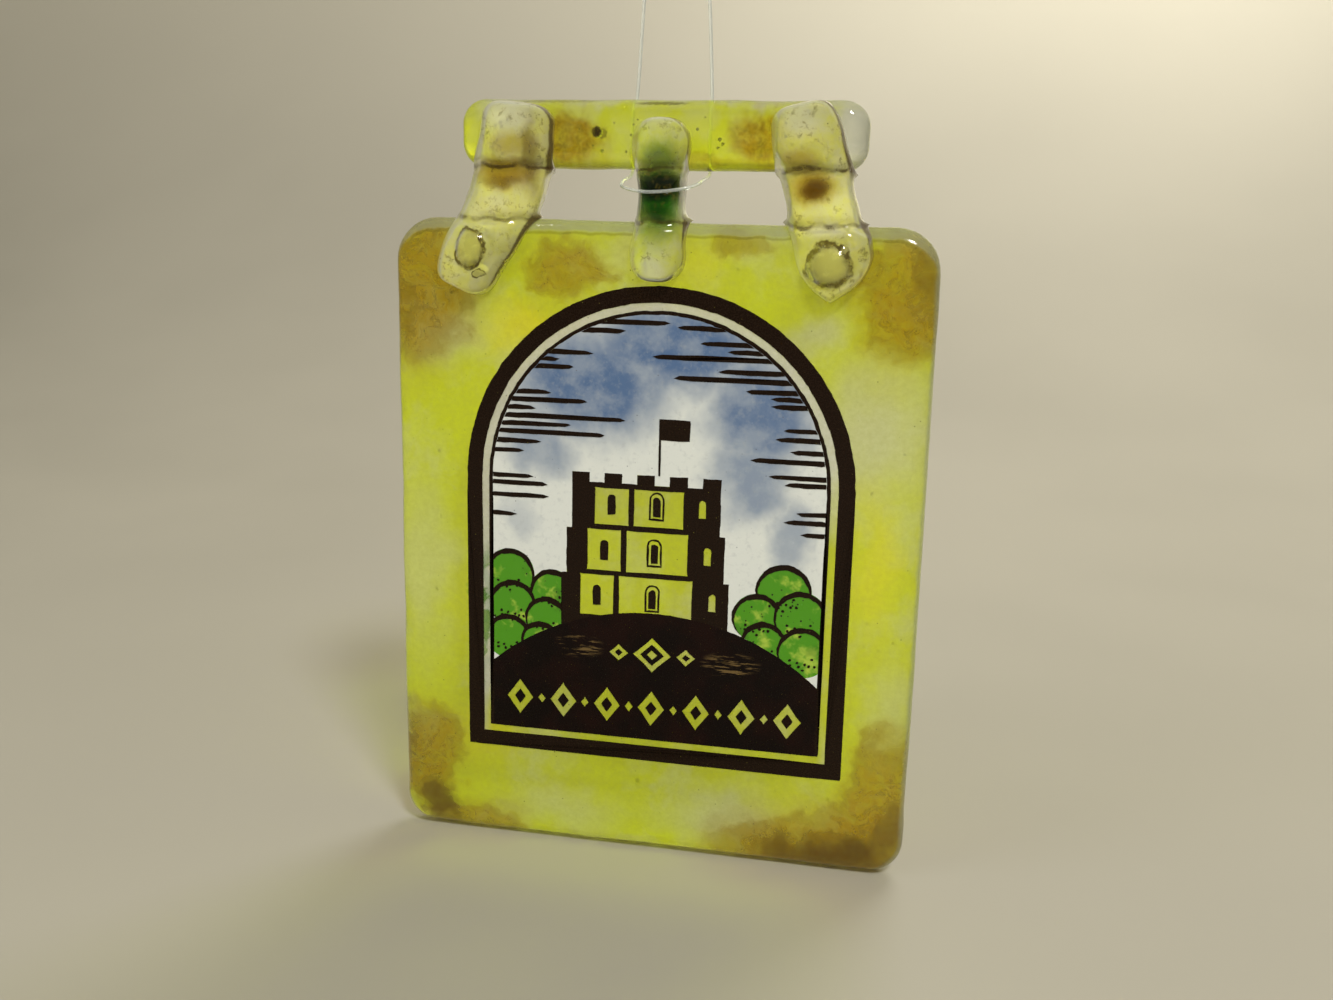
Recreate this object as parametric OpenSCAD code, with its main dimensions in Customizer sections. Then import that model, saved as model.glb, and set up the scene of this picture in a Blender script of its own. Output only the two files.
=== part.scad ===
// Kiln-fused glass hanging ornament. Millimetres, +Z up, +X to the right, +Y to the back.
// The origin is the hang point: the top of the thread loop, just under its knot.

/* [Pane] */
// Width of the pane
pane_w = 60; // [45:1:90]
// Height of the pane
pane_h = 72.4; // [66:0.2:110]
// Thickness of the pane and of the bar
glass_t = 4; // [3:0.1:5]
// Radius of the pane's two upper corners
corner_top = 5; // [3:0.5:9]
// Radius of the pane's two lower corners
corner_bottom = 4; // [3:0.5:9]

/* [Bar] */
// Length of the bar
bar_len = 44; // [40:1:60]
// Height of the bar
bar_h = 7.6; // [6.5:0.1:12]
// Radius of the bar's corners
bar_corner = 3; // [2.6:0.1:3.2]
// Open height between the pane and the bar
gap_h = 4.9; // [4.4:0.1:8]

/* [Straps] */
// How far the straps stand in front of the pane
strap_proud = 2.4; // [1.6:0.1:3.5]
// How far a strap's front slumps back over the gap
strap_dip = 0.9; // [0:0.1:1.4]
// Distance from the pane's middle to the left strap
left_at = 16.6; // [13:0.1:18]
// Distance from the pane's middle to the right strap
right_at = 16.4; // [15:0.1:18]
// Width of the left strap
left_w = 7.6; // [5:0.1:9]
// Width of the middle strap
middle_w = 5.2; // [3.6:0.1:5.4]
// Width of the right strap
right_w = 6.6; // [5:0.1:9]
// How far each strap reaches down the pane
foot_reach = 8.8; // [6:0.1:10]
// How far the dome over a trapped bubble stands out of a strap
dome_proud = 0.5; // [0.2:0.1:1]

/* [Picture] */
// Width of the picture's arched border
arch_w = 43.6; // [40:0.2:44]
// Distance from the pane's top edge down to the border
arch_from_top = 6.9; // [6.5:0.1:12]
// Height of the border
arch_h = 54.1; // [52:0.1:58]
// Width of the border's dark band
band_w = 1.75; // [1:0.05:2]
// Width of the clear line inside the band
clear_w = 0.85; // [0.4:0.05:1]
// Width of the thin dark line
fine_w = 0.4; // [0.3:0.05:0.5]
// Thickness of the translucent colours
colour_t = 0.04; // [0.02:0.01:0.08]
// Thickness of the dark print
print_t = 0.05; // [0.03:0.01:0.1]

/* [Hanger] */
// Diameter of the thread
thread_d = 0.35; // [0.2:0.01:0.4]
// Diameter of the knot
knot_d = 1.5; // [1.2:0.1:2.5]
// Length of the knot's cut tails
tail_len = 3; // [1:0.5:8]

/* [Hidden] */
$fn = 64;

// Distance from the hang point down to the pane's top edge, which the thread's route is made for
hang_drop = 50;
edge_r = glass_t / 2;
front = -edge_r;
gap_mid = gap_h / 2;
bar_top = gap_h + bar_h;

// The straps end below the bar's top, their slump runs past the gap, and their back sags into it
strap_inset = 0.9;
strap_top_z = bar_top - strap_inset;
slump_reach = 3.5;
strap_back = 0.4;
fuse_depth = 0.5;
end_round = 0.8;
bend_z = gap_h - 1.9;

// Domes over the trapped bubbles: place beside the strap's middle, height, ball radius
dome_sink = 0.4;
left_dome = [-3.2, -3.4, 3.6];
right_dome = [2.2, -4.4, 4];

// Picture layout, from the pane's middle and the pane's top edge
arch_x = 0.6;
arch_r = arch_w / 2;
spring_z = -arch_from_top - arch_r;
arch_foot = -arch_from_top - arch_h;
ring_r = arch_r - band_w;
fine_r = ring_r - clear_w;
picture_r = fine_r - fine_w;
picture_foot = arch_foot + band_w + clear_w;

// The middle strap stands a little to the right of the pane's middle, above the border
middle_x = 0.4;
middle_inset = 2.1;
border_clear = 0.5;
middle_top_z = bar_top - middle_inset;
middle_foot_z = -arch_from_top + border_clear;

// Corners of the hand-cut straps, round from the upper left: side (-1 left, 1 right),
// how far out from that side, height, rounding
left_corners = [
    [-1, -1.5, strap_top_z, 2], [-1, 0.1, bend_z, 8], [-1, 3.9, -foot_reach * 0.66, 2.2],
    [-1, -1.5, -foot_reach, 1.6], [1, -3.5, -foot_reach * 0.48, 6], [1, 0.2, bend_z, 8],
    [1, 1.5, strap_top_z, 1.8]
];
middle_corners = [
    [-1, 0.3, middle_top_z, 1.8], [-1, -0.1, gap_mid, 8], [-1, 0.6, middle_foot_z, 1.2],
    [1, -0.9, middle_foot_z, 2.4], [1, 0.1, middle_foot_z / 4, 3], [1, -0.1, gap_mid, 8],
    [1, 0.2, middle_top_z, 1.8]
];
right_corners = [
    [-1, 1.2, strap_top_z, 1.8], [-1, 0, gap_h, 10], [-1, -2.4, -foot_reach * 0.62, 3],
    [1, -1.6, -foot_reach, 0.8], [1, 3, -foot_reach * 0.64, 1], [1, 3.1, -foot_reach * 0.3, 2],
    [1, 0.2, gap_h, 10], [1, -1.9, strap_top_z, 2.2]
];

// The hill, the lozenge row on it and the rosette above the row
hill_r = 28.4;
hill_top = -43.3;
row_z = -54.6;
row_pitch = 5.2;
rosette_z = -48.2;

// Lozenges: width, height and, for a frame, the share of it that its inner lozenge takes
row_lozenge = [3.1, 4.2, 0.42];
row_dot = [0.9, 1.2];
rosette = [4.4, 4, 0.62];
rosette_heart = [1.2, 1.1];
rosette_wing = [2.2, 2, 0.4];
wing_at = 3.9;

// The keep: its top storey, and how each storey below is taller and wider
tower_x = -0.5;
tower_top = -28.6;
tower_w = 16.8;
tier_h = 5.3;
tier_step = 0.6;
course_h = 0.55;
merlon_w = 2;
merlon_h = 1.1;

// Clear panels of a storey: inset from the wall, widths, the post between them, and how the
// inset and the wide panel change from one storey to the next
panel_inset = 2.6;
narrow_w = 3.9;
wide_w = 5.6;
post_w = 0.6;
inset_step = 0.8;
wide_step = 1.4;

// Windows: height above the panel's foot, width, height
slit = [1.2, 0.9, 2.3];
frame_outer = [0.8, 1.7, 3.2];
frame_inner = [1, 1.3, 2.8];
frame_light = [1.2, 0.8, 2.2];
side_slit = [1.4, 0.8, 2];
side_slit_in = 2;
side_slit_step = 0.7;
frame_share = 0.46;

pole_x = 1.1;
pole_w = 0.22;
pole_top = -21.2;
flag_w = 3.2;
flag_h = 2.3;

// Sky strokes: height and length, from the picture's side
stroke_w = 0.5;
stroke_point = 0.6;
stroke_thin = 0.8;
stroke_gap = 0.05;
left_strokes = [
    [-10.8, 7], [-11.8, 4.6], [-14.3, 4.8], [-15.1, 2], [-15.9, 4.4], [-18.8, 4], [-19.7, 8.6],
    [-20.6, 3.2], [-21.5, 13.8], [-22.4, 8], [-23.3, 12.2], [-24.4, 5.2], [-25.5, 3.4],
    [-28.4, 4.8], [-29.2, 6.4], [-30.6, 6.6], [-32.8, 2.8]
];
right_strokes = [
    [-11.2, 4.8], [-12.8, 5.4], [-13.6, 3.6], [-14.4, 12.8], [-15.7, 7], [-16.6, 12.6], [-17.7, 5.6],
    [-18.4, 3.4], [-19.2, 3.8], [-21.7, 3.6], [-22.7, 4.8], [-24, 3.6], [-25.1, 8], [-26.8, 6.2],
    [-27.6, 4.6], [-30.7, 3.2], [-31.7, 4.6], [-33, 2.6]
];

// Bush lobes, back ones first: X, Z and radius
outline_w = 0.6;
outline_drop = 0.35;
stipple_count = 9;
stipple_from = 200;
stipple_sweep = 140;
stipple_inset = 0.8;
stipple_shares = [0.62, 0.79, 0.96];
dot_r = 0.15;
lobes = [
    [-16.2, -39.8, 2.9], [-11.2, -41.6, 2.6], [-15.9, -43.4, 2.8], [-11.9, -44.8, 2.5],
    [-16.4, -47.4, 2.7], [-12.6, -47.6, 2.3],
    [15.2, -39.6, 3.1], [12.4, -42.8, 2.8], [17.2, -42.4, 3], [13.2, -45.8, 2.6],
    [17.6, -46.4, 2.9]
];

// Route of the thread: down behind the bar, under it, round the middle strap and back up
route = [
    [-0.3, 0, 0], [-0.3, 0, -0.8], [-0.5, 0.2, -2.5], [-0.9, 0.5, -6], [-1.4, 0.9, -12],
    [-1.9, 1.4, -19], [-2.6, 2, -28], [-3.1, 2.5, -35], [-3.4, 2.6, -39], [-3.5, 2.6, -42],
    [-3.5, 2.5, -43.6], [-3.5, 1.9, -44.9], [-3.5, 0.6, -45.6], [-3.5, -0.8, -45.8],
    [-3.6, -2, -46.1], [-3.5, -3.2, -46.6], [-2.8, -4, -46.9], [-1.2, -4.2, -47.2],
    [0.6, -4.2, -47.2], [2.4, -4.2, -47], [3.8, -3.8, -46.7], [4.6, -2.8, -46.3],
    [4.8, -1.4, -45.9], [4.9, 0, -45.6], [5, 1.2, -45.3], [5, 2.2, -44.4], [5, 2.6, -43],
    [5, 2.6, -41], [4.9, 2.6, -38], [4.6, 2.2, -31], [4.3, 1.8, -26], [3.5, 1.4, -19],
    [2.4, 0.9, -12], [1.3, 0.5, -6], [0.6, 0.2, -2.5], [0.3, 0, -0.8], [0.3, 0, 0]
];
thread_sides = 8;

// The knot is a barrel with a round top, and its tails lean out
barrel_share = 0.45;
tail_lean = 24;

// ---------- Outlines ----------

function unit(v) = v / norm(v);

// Points of a fillet of radius r at corner p, between its neighbours a and b
function fillet(a, p, b, r, steps) =
    norm(unit(a - p) + unit(b - p)) < 0.01 ? [p] :
    let (
        u = unit(a - p),
        v = unit(b - p),
        half = acos(u * v) / 2,
        middle = p + unit(u + v) * r / sin(half),
        start = p + u * r / tan(half) - middle,
        turn = sign(cross(u, v)) * (180 - 2 * half)
    )
    [for (i = [0:steps])
        let (t = -turn * i / steps)
        middle + [start.x * cos(t) - start.y * sin(t), start.x * sin(t) + start.y * cos(t)]];

// Outline through corners [x, z, radius]
function rounded(corners, steps = 6) =
    let (n = len(corners))
    [for (i = [0:n - 1])
        let (
            before = corners[(i + n - 1) % n],
            here = corners[i],
            after = corners[(i + 1) % n]
        )
        each fillet([before.x, before.y], [here.x, here.y], [after.x, after.y], here.z, steps)];

// Extrudes an outline drawn in X and Z from one depth to another, along Y
module in_front(from, to) {
    translate([0, to, -hang_drop])
        rotate([90, 0, 0])
            linear_extrude(to - from)
                children();
}

// ---------- Glass plates ----------

// A plate with fully rounded edges: flat middle, round sides and round corners
module plate(w, h, r_top, r_bottom) {
    // Lower and upper corners: radius, height of their centres, height of the round edge, turn
    levels = [[r_bottom, r_bottom, edge_r, 90], [r_top, h - r_top, h - edge_r, 0]];
    for (side = [-1, 1])
        translate([side * (w / 2 - edge_r), 0, r_bottom])
            cylinder(h = h - r_top - r_bottom, r = edge_r);
    for (level = levels) {
        r = level[0];
        translate([-w / 2 + r, 0, level[2]])
            rotate([0, 90, 0])
                cylinder(h = w - 2 * r, r = edge_r);
        for (side = [0, 1])
            mirror([side, 0, 0])
                translate([w / 2 - r, 0, level[1]])
                    rotate([90, level[3], 0])
                        rotate_extrude(angle = 90)
                            corner_profile(r - edge_r);
    }
    rotate([90, 0, 0])
        linear_extrude(glass_t, center = true)
            plate_middle(w, h, r_top, r_bottom);
}

// Half section of a rounded corner whose flat part is in_r wide
module corner_profile(in_r) {
    translate([0, -edge_r])
        square([in_r, glass_t]);
    intersection() {
        translate([in_r, 0])
            circle(edge_r);
        translate([in_r, -edge_r])
            square([glass_t, glass_t]);
    }
}

// The plate's flat middle, which leaves its four corners open
module plate_middle(w, h, r_top, r_bottom) {
    x = w / 2;
    polygon([
        [-x + r_bottom, edge_r], [x - r_bottom, edge_r], [x - r_bottom, r_bottom], [x - edge_r, r_bottom],
        [x - edge_r, h - r_top], [x - r_top, h - r_top], [x - r_top, h - edge_r], [-x + r_top, h - edge_r],
        [-x + r_top, h - r_top], [-x + edge_r, h - r_top], [-x + edge_r, r_bottom], [-x + r_bottom, r_bottom]
    ]);
}

module pane() {
    color([0.80, 0.84, 0.24, 0.7])
        pane_solid();
}

module pane_solid() {
    translate([0, 0, -hang_drop - pane_h])
        plate(pane_w, pane_h, corner_top, corner_bottom);
}

module bar_solid() {
    translate([0, 0, -hang_drop + gap_h])
        plate(bar_len, bar_h, bar_corner, bar_corner);
}

module top_bar() {
    color([0.78, 0.78, 0.25, 0.7])
        bar_solid();
}

// ---------- Straps ----------

// How much of the slump a strap has at height z, from 0 to 1
function slump(z) =
    let (u = (z - gap_mid) / (gap_mid + slump_reach))
    abs(u) < 1 ? (1 + cos(180 * u)) / 2 : 0;

function strap_front(z) = front - strap_proud + strap_dip * slump(z);

// Quarter turn of the strap's rounded end, as shares of its radius
quarter_steps = 6;
function quarter(i) = 90 * i / quarter_steps;

// Side view of a strap from z_low to z_top: Y to the right, Z up
strap_steps = 24;
function strap_side(z_low, z_top) =
    let (
        r = strap_proud * end_round,
        flat = front - strap_proud + r,
        low = z_low + r,
        high = z_top - r
    )
    concat(
        [[front, z_low]],
        [for (i = [0:quarter_steps]) [flat - r * sin(quarter(i)), low - r * cos(quarter(i))]],
        [for (i = [1:strap_steps - 1])
            let (z = low + (high - low) * i / strap_steps)
            [strap_front(z), z]],
        [for (i = [0:quarter_steps]) [flat - r * cos(quarter(i)), high + r * sin(quarter(i))]],
        [[front, z_top]]
    );

// Extrudes a side view drawn in Y and Z across the whole pane
module across() {
    translate([-pane_w / 2, 0, -hang_drop])
        rotate([90, 0, 90])
            linear_extrude(pane_w)
                children();
}

// A strap lies on the bar and the pane and sags into the gap between them
module strap(outline, z_low, z_top) {
    intersection() {
        in_front(front - 2 * strap_proud, 0)
            polygon(rounded(outline));
        union() {
            across()
                polygon(strap_side(z_low, z_top));
            difference() {
                across()
                    translate([front - fuse_depth, -edge_r])
                        square([edge_r + fuse_depth - strap_back, gap_h + glass_t]);
                pane_solid();
                bar_solid();
            }
        }
    }
}

// Dome over a bubble trapped under a strap's foot: a cap of a ball, sunk a little into the strap
module dome(x, z, r) {
    translate([x, strap_front(z) - dome_proud, z - hang_drop])
        intersection() {
            translate([0, r, 0])
                sphere(r);
            translate([-r, 0, -r])
                cube([2 * r, dome_proud + dome_sink, 2 * r]);
        }
}

// Outline of a strap of width w, from its table of corners
function outline(at, w, corners) = [for (c = corners) [at + c[0] * (w / 2 + c[1]), c[2], c[3]]];

module strap_left() {
    color([0.72, 0.74, 0.36, 0.7]) {
        strap(outline(-left_at, left_w, left_corners), -foot_reach, strap_top_z);
        dome(-left_at + left_dome.x, left_dome.y, left_dome.z);
    }
}

module strap_middle() {
    color([0.40, 0.62, 0.16, 0.7])
        strap(outline(middle_x, middle_w, middle_corners), middle_foot_z, middle_top_z);
}

module strap_right() {
    color([0.72, 0.74, 0.32, 0.7]) {
        strap(outline(right_at, right_w, right_corners), -foot_reach, strap_top_z);
        dome(right_at + right_dome.x, right_dome.y, right_dome.z);
    }
}

// ---------- Picture ----------

// Dark print lies on bare glass, or on the colours where on_colour is true
module print_layer(on_colour = false) {
    back = front - (on_colour ? colour_t : 0);
    in_front(back - print_t, back)
        children();
}

module colour_layer() {
    in_front(front - colour_t, front)
        children();
}

// Arched area of half width r, with its foot at height z
module arch_area(r, z) {
    polygon(concat(
        [[arch_x + r, z]],
        [for (a = [0:3:180]) [arch_x + r * cos(a), spring_z + r * sin(a)]],
        [[arch_x - r, z]]
    ));
}

module picture_area() {
    arch_area(picture_r, picture_foot);
}

// The picture's side at height z, at a distance from its middle
function side_at(z) = sqrt(picture_r ^ 2 - max(z - spring_z, 0) ^ 2);

// Height of the hill at a distance x from the picture's middle
function hill_z(x) = hill_top - hill_r + sqrt(hill_r ^ 2 - x ^ 2);

module hill_area() {
    polygon(concat(
        [[arch_x + picture_r, picture_foot], [arch_x - picture_r, picture_foot]],
        [for (i = [-16:16]) [arch_x + picture_r * i / 16, hill_z(picture_r * i / 16)]]
    ));
}

// A lozenge of width size[0] and height size[1]
module lozenge(x, z, size, share = 1) {
    w = size[0] * share / 2;
    h = size[1] * share / 2;
    polygon([[x - w, z], [x, z - h], [x + w, z], [x, z + h]]);
}

// A lozenge frame round a smaller lozenge of print
module open_lozenge(x, z, size) {
    difference() {
        lozenge(x, z, size);
        lozenge(x, z, size, size[2]);
    }
}

module hill_ornament() {
    for (i = [-3:3])
        open_lozenge(arch_x + i * row_pitch, row_z, row_lozenge);
    for (i = [-3:2])
        lozenge(arch_x + (i + 0.5) * row_pitch, row_z, row_dot);
    open_lozenge(arch_x, rosette_z, rosette);
    lozenge(arch_x, rosette_z, rosette_heart);
    for (side = [-1, 1])
        open_lozenge(arch_x + side * wing_at, rosette_z, rosette_wing);
}

// One storey; the lowest runs on down into the hill
module tier_area(i) {
    h = i == 2 ? 2 * tier_h : tier_h;
    translate([tower_x - tower_w / 2 - i * tier_step, tower_top - i * tier_h - h])
        square([tower_w + 2 * i * tier_step, h]);
}

module tower_area() {
    difference() {
        union() {
            for (i = [0:2])
                tier_area(i);
            for (i = [0:4])
                translate([tower_x - tower_w / 2 + i * (tower_w - merlon_w) / 4, tower_top - 0.1])
                    square([merlon_w, merlon_h + 0.1]);
        }
        hill_area();
    }
}

// A window with a round top: size holds its height above z, its width and its height
module window_area(x, z, size) {
    w = size[1];
    foot = z + size[0];
    translate([x - w / 2, foot])
        square([w, size[2] - w / 2]);
    translate([x, foot + size[2] - w / 2])
        circle(w / 2);
}

// Clear panels of one storey, with dark windows in them
module storey_panels(i) {
    z = tower_top - (i + 1) * tier_h + course_h;
    h = tier_h - course_h - (i == 0 ? course_h : 0);
    left = tower_x - tower_w / 2 + panel_inset - inset_step * i;
    second = left + narrow_w + post_w;
    wide = wide_w + wide_step * i;
    frame_x = second + wide * frame_share;
    difference() {
        union() {
            translate([left, z])
                square([narrow_w, h]);
            translate([second, z])
                square([wide, h]);
        }
        window_area(left + narrow_w / 2, z, slit);
        difference() {
            window_area(frame_x, z, frame_outer);
            window_area(frame_x, z, frame_inner);
        }
        window_area(frame_x, z, frame_light);
    }
    window_area(tower_x + tower_w / 2 - side_slit_in + side_slit_step * i, z, side_slit);
}

module flag_area() {
    translate([pole_x, pole_top - flag_h])
        square([flag_w, flag_h]);
    translate([pole_x - pole_w, tower_top + merlon_h])
        square([pole_w, pole_top - tower_top - merlon_h]);
}

// One sky stroke, from the picture's side towards its middle
module stroke(z, length, side) {
    h = stroke_w / 2;
    tip = side_at(z) - length;
    polygon([for (p = [
        [side_at(z + h) - stroke_gap, z + h],
        [tip + stroke_point, z + h * stroke_thin],
        [tip, z],
        [tip + stroke_point, z - h * stroke_thin],
        [side_at(z - h) - stroke_gap, z - h]
    ]) [arch_x + side * p.x, p.y]]);
}

module lobe_area(lobe, less = 0) {
    translate([lobe[0], lobe[1]])
        circle(lobe[2] - less);
}

module foliage_area() {
    difference() {
        intersection() {
            union() {
                for (lobe = lobes)
                    lobe_area(lobe);
            }
            picture_area();
        }
        hill_area();
        tower_area();
    }
}

// Each lobe's outline over its top and sides, hidden where a lobe in front covers it
module bush_lines() {
    for (i = [0:len(lobes) - 1])
        difference() {
            lobe_area(lobes[i]);
            translate([0, -outline_drop])
                lobe_area(lobes[i], outline_w - outline_drop);
            for (j = [i + 1:1:len(lobes) - 1])
                lobe_area(lobes[j]);
        }
}

// Dots scattered over the lower part of a lobe
module stipple(lobe) {
    for (i = [1:stipple_count])
        let (
            a = stipple_from + stipple_sweep * i / (stipple_count + 1),
            r = (lobe[2] - stipple_inset) * stipple_shares[i % 3]
        )
        translate([lobe[0] + r * cos(a), lobe[1] + r * sin(a)])
            circle(dot_r, $fn = 8);
}

module print_border() {
    color([0.17, 0.10, 0.02]) {
        print_layer()
            difference() {
                arch_area(arch_r, arch_foot);
                arch_area(ring_r, arch_foot + band_w);
            }
        print_layer()
            difference() {
                arch_area(fine_r, picture_foot);
                arch_area(picture_r, picture_foot - 1);
            }
    }
}

module print_tower() {
    color([0.15, 0.08, 0.02]) {
        print_layer()
            difference() {
                tower_area();
                for (i = [0:2])
                    storey_panels(i);
            }
        print_layer(on_colour = true)
            flag_area();
    }
}

module print_hill() {
    color([0.12, 0.03, 0.03])
        print_layer()
            difference() {
                hill_area();
                hill_ornament();
            }
}

module print_strokes() {
    color([0.15, 0.08, 0.04])
        print_layer(on_colour = true) {
            for (s = left_strokes)
                stroke(s[0], s[1], -1);
            for (s = right_strokes)
                stroke(s[0], s[1], 1);
        }
}

module print_bushes() {
    color([0.12, 0.10, 0.02])
        print_layer(on_colour = true)
            intersection() {
                foliage_area();
                union() {
                    bush_lines();
                    for (lobe = lobes)
                        stipple(lobe);
                }
            }
}

module sky_enamel() {
    color([0.62, 0.70, 0.82])
        colour_layer()
            difference() {
                picture_area();
                hill_area();
                tower_area();
                for (lobe = lobes)
                    lobe_area(lobe);
            }
}

module foliage_enamel() {
    color([0.38, 0.60, 0.13])
        colour_layer()
            foliage_area();
}

// ---------- Hanger ----------

// One more point halfway along each stretch, on a smooth curve through the route
function smoothed(p) = [for (i = [0:len(p) - 2])
    let (
        before = p[max(i - 1, 0)],
        after = p[min(i + 2, len(p) - 1)]
    )
    each [p[i], (9 * (p[i] + p[i + 1]) - before - after) / 16]];

function directions(p) = [for (i = [0:len(p) - 1]) unit(p[min(i + 1, len(p) - 1)] - p[max(i - 1, 0)])];

// A direction square to t that turns as little as possible from n
function carried(n, t) = unit(n - t * (n * t));

function carried_all(t, done) = len(done) == len(t) ? done :
    carried_all(t, concat(done, [carried(done[len(done) - 1], t[len(done)])]));

// Tube of radius r along the points p
module tube(p, r, sides) {
    t = directions(p);
    n = carried_all(t, [carried([0, 1, 0], t[0])]);
    rings = len(p);
    points = [for (i = [0:rings - 1])
        for (k = [0:sides - 1])
            let (a = 360 * k / sides)
            p[i] + r * (cos(a) * n[i] + sin(a) * cross(t[i], n[i]))];
    walls = [for (i = [0:rings - 2])
        for (k = [0:sides - 1])
            let (m = (k + 1) % sides)
            [i * sides + k, i * sides + m, (i + 1) * sides + m, (i + 1) * sides + k]];
    start_cap = [[for (k = [sides - 1:-1:0]) k]];
    end_cap = [[for (k = [0:sides - 1]) (rings - 1) * sides + k]];
    faces = [for (f = concat(walls, start_cap, end_cap))
        [for (i = [len(f) - 1:-1:0]) f[i]]];
    polyhedron(points, faces);
}

module hanging_thread() {
    path = concat(smoothed(route), [route[len(route) - 1]]);
    color([0.85, 0.87, 0.86, 0.5])
        tube(path, thread_d / 2, thread_sides);
}

// A barrel knot with a flat underside, where both ends of the loop enter it
module thread_knot() {
    barrel_h = knot_d * barrel_share;
    color([0.85, 0.87, 0.86, 0.6]) {
        cylinder(h = barrel_h, d = knot_d);
        translate([0, 0, barrel_h])
            intersection() {
                sphere(d = knot_d);
                translate([-knot_d, -knot_d, 0])
                    cube(2 * knot_d);
            }
        for (side = [-1, 1])
            translate([0, 0, barrel_h])
                rotate([0, side * tail_lean, 0])
                    cylinder(h = knot_d / 2 + tail_len, d = thread_d);
    }
}

pane();
top_bar();
strap_left();
strap_middle();
strap_right();
print_border();
print_tower();
print_hill();
print_strokes();
print_bushes();
sky_enamel();
foliage_enamel();
hanging_thread();
thread_knot();
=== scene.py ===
import math
import random

import bmesh
import bpy
from bpy.props import FloatProperty, FloatVectorProperty, IntProperty, PointerProperty
from mathutils import Matrix, Vector, noise


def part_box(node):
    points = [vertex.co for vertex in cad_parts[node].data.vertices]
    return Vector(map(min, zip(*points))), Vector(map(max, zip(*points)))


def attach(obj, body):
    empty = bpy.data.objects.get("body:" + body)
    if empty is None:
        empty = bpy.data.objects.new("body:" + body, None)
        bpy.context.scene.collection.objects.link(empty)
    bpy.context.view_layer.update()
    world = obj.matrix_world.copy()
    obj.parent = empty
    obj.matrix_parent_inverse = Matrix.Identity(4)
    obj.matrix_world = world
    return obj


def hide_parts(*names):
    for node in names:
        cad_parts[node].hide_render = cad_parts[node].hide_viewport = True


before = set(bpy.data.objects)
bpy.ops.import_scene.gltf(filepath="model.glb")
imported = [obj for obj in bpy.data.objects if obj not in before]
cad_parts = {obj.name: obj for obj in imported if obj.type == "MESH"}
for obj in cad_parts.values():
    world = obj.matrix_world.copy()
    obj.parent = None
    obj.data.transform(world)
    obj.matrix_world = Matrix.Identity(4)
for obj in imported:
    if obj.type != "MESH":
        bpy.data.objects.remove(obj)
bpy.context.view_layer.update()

bl_info = {
    "name": "Fused Glass Hanging Tile",
    "version": (1, 0, 0),
    "blender": (4, 5, 0),
    "location": "View3D > Sidebar > Glass Tile",
    "description": "Builds a kiln-fused glass tile with a fired picture and a nylon loop",
    "category": "Object",
}

MM = 0.001
PANE_LO, PANE_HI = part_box("pane")
BAR_LO, BAR_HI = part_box("top_bar")
KNOT_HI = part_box("thread_knot")[1]
PANE_TOP = PANE_HI.z
FLOOR_Z = PANE_LO.z
PRINT_NODES = ("print_border", "print_tower", "print_hill", "print_strokes", "print_bushes")

# Route of the thread in millimetres: down behind the bar, round the middle strap, back up
THREAD_ROUTE = (
    (-0.3, 0, 0), (-0.3, 0, -0.8), (-0.5, 0.2, -2.5), (-0.9, 0.5, -6), (-1.4, 0.9, -12),
    (-1.9, 1.4, -19), (-2.6, 2, -28), (-3.1, 2.5, -35), (-3.4, 2.58, -39), (-3.5, 2.58, -42),
    (-3.5, 2.5, -43.6), (-3.5, 1.9, -44.9), (-3.5, 0.6, -45.6), (-3.5, -0.8, -45.8),
    (-3.6, -2, -46.1), (-3.5, -3.2, -46.6), (-2.8, -4, -46.9), (-1.2, -4.2, -47.2),
    (0.6, -4.2, -47.2), (2.4, -4.2, -47), (3.8, -3.8, -46.7), (4.6, -2.8, -46.3),
    (4.8, -1.4, -45.9), (4.9, 0, -45.6), (5, 1.2, -45.3), (5, 2.2, -44.4), (5, 2.56, -43),
    (5, 2.58, -41), (4.9, 2.58, -38), (4.6, 2.2, -31), (4.3, 1.8, -26), (3.5, 1.4, -19),
    (2.4, 0.9, -12), (1.3, 0.5, -6), (0.6, 0.2, -2.5), (0.3, 0, -0.8), (0.3, 0, 0),
)

# Middle line of each strap as (X, height over the pane's top), and its half width there
LEFT_LINE = ((-14.9, 11.8, 3.95), (-15.3, 8.2, 4.25), (-16, 5, 4.3), (-17, 2, 4.15),
             (-18.6, -1.4, 4), (-20.4, -4.6, 3.75), (-21.8, -7.8, 3.3))
MIDDLE_LINE = ((0.55, 10.4, 3.15), (0.5, 8, 3.3), (0.4, 5.2, 2.95), (0.4, 2.4, 2.65),
               (0.4, 0, 2.8), (0.3, -3, 3.1), (0.2, -6.5, 3.1))
RIGHT_LINE = ((14.9, 11.8, 3.4), (15.6, 8.6, 3.75), (16.5, 5, 3.85), (17.2, 2, 3.8),
              (18.2, -1.2, 3.9), (19.2, -4.2, 4.05), (19.8, -8, 3.6))

# Heights over the pane's top at which the straps bend onto the pane and off the bar
STRAP_CREASES = (-0.3, 5.2)

# The camera: its place in millimetres, the directions to its right and ahead, its focal length
CAMERA_PLACE = (27.9, -133.5, -51.4)
CAMERA_RIGHT = (0.9797, 0.1991, 0.0230)
CAMERA_AHEAD = (-0.19, 0.9592, -0.2094)
CAMERA_LENS = 33.6


# ---------- Sizes and colours a user would change ----------


def length(name, description, default, low, high):
    return FloatProperty(name=name, description=description, default=default, min=low, max=high,
                         unit="LENGTH")


def tint(name, description, default):
    return FloatVectorProperty(name=name, description=description, default=default, min=0, max=1,
                               subtype="COLOR", size=3)


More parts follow.
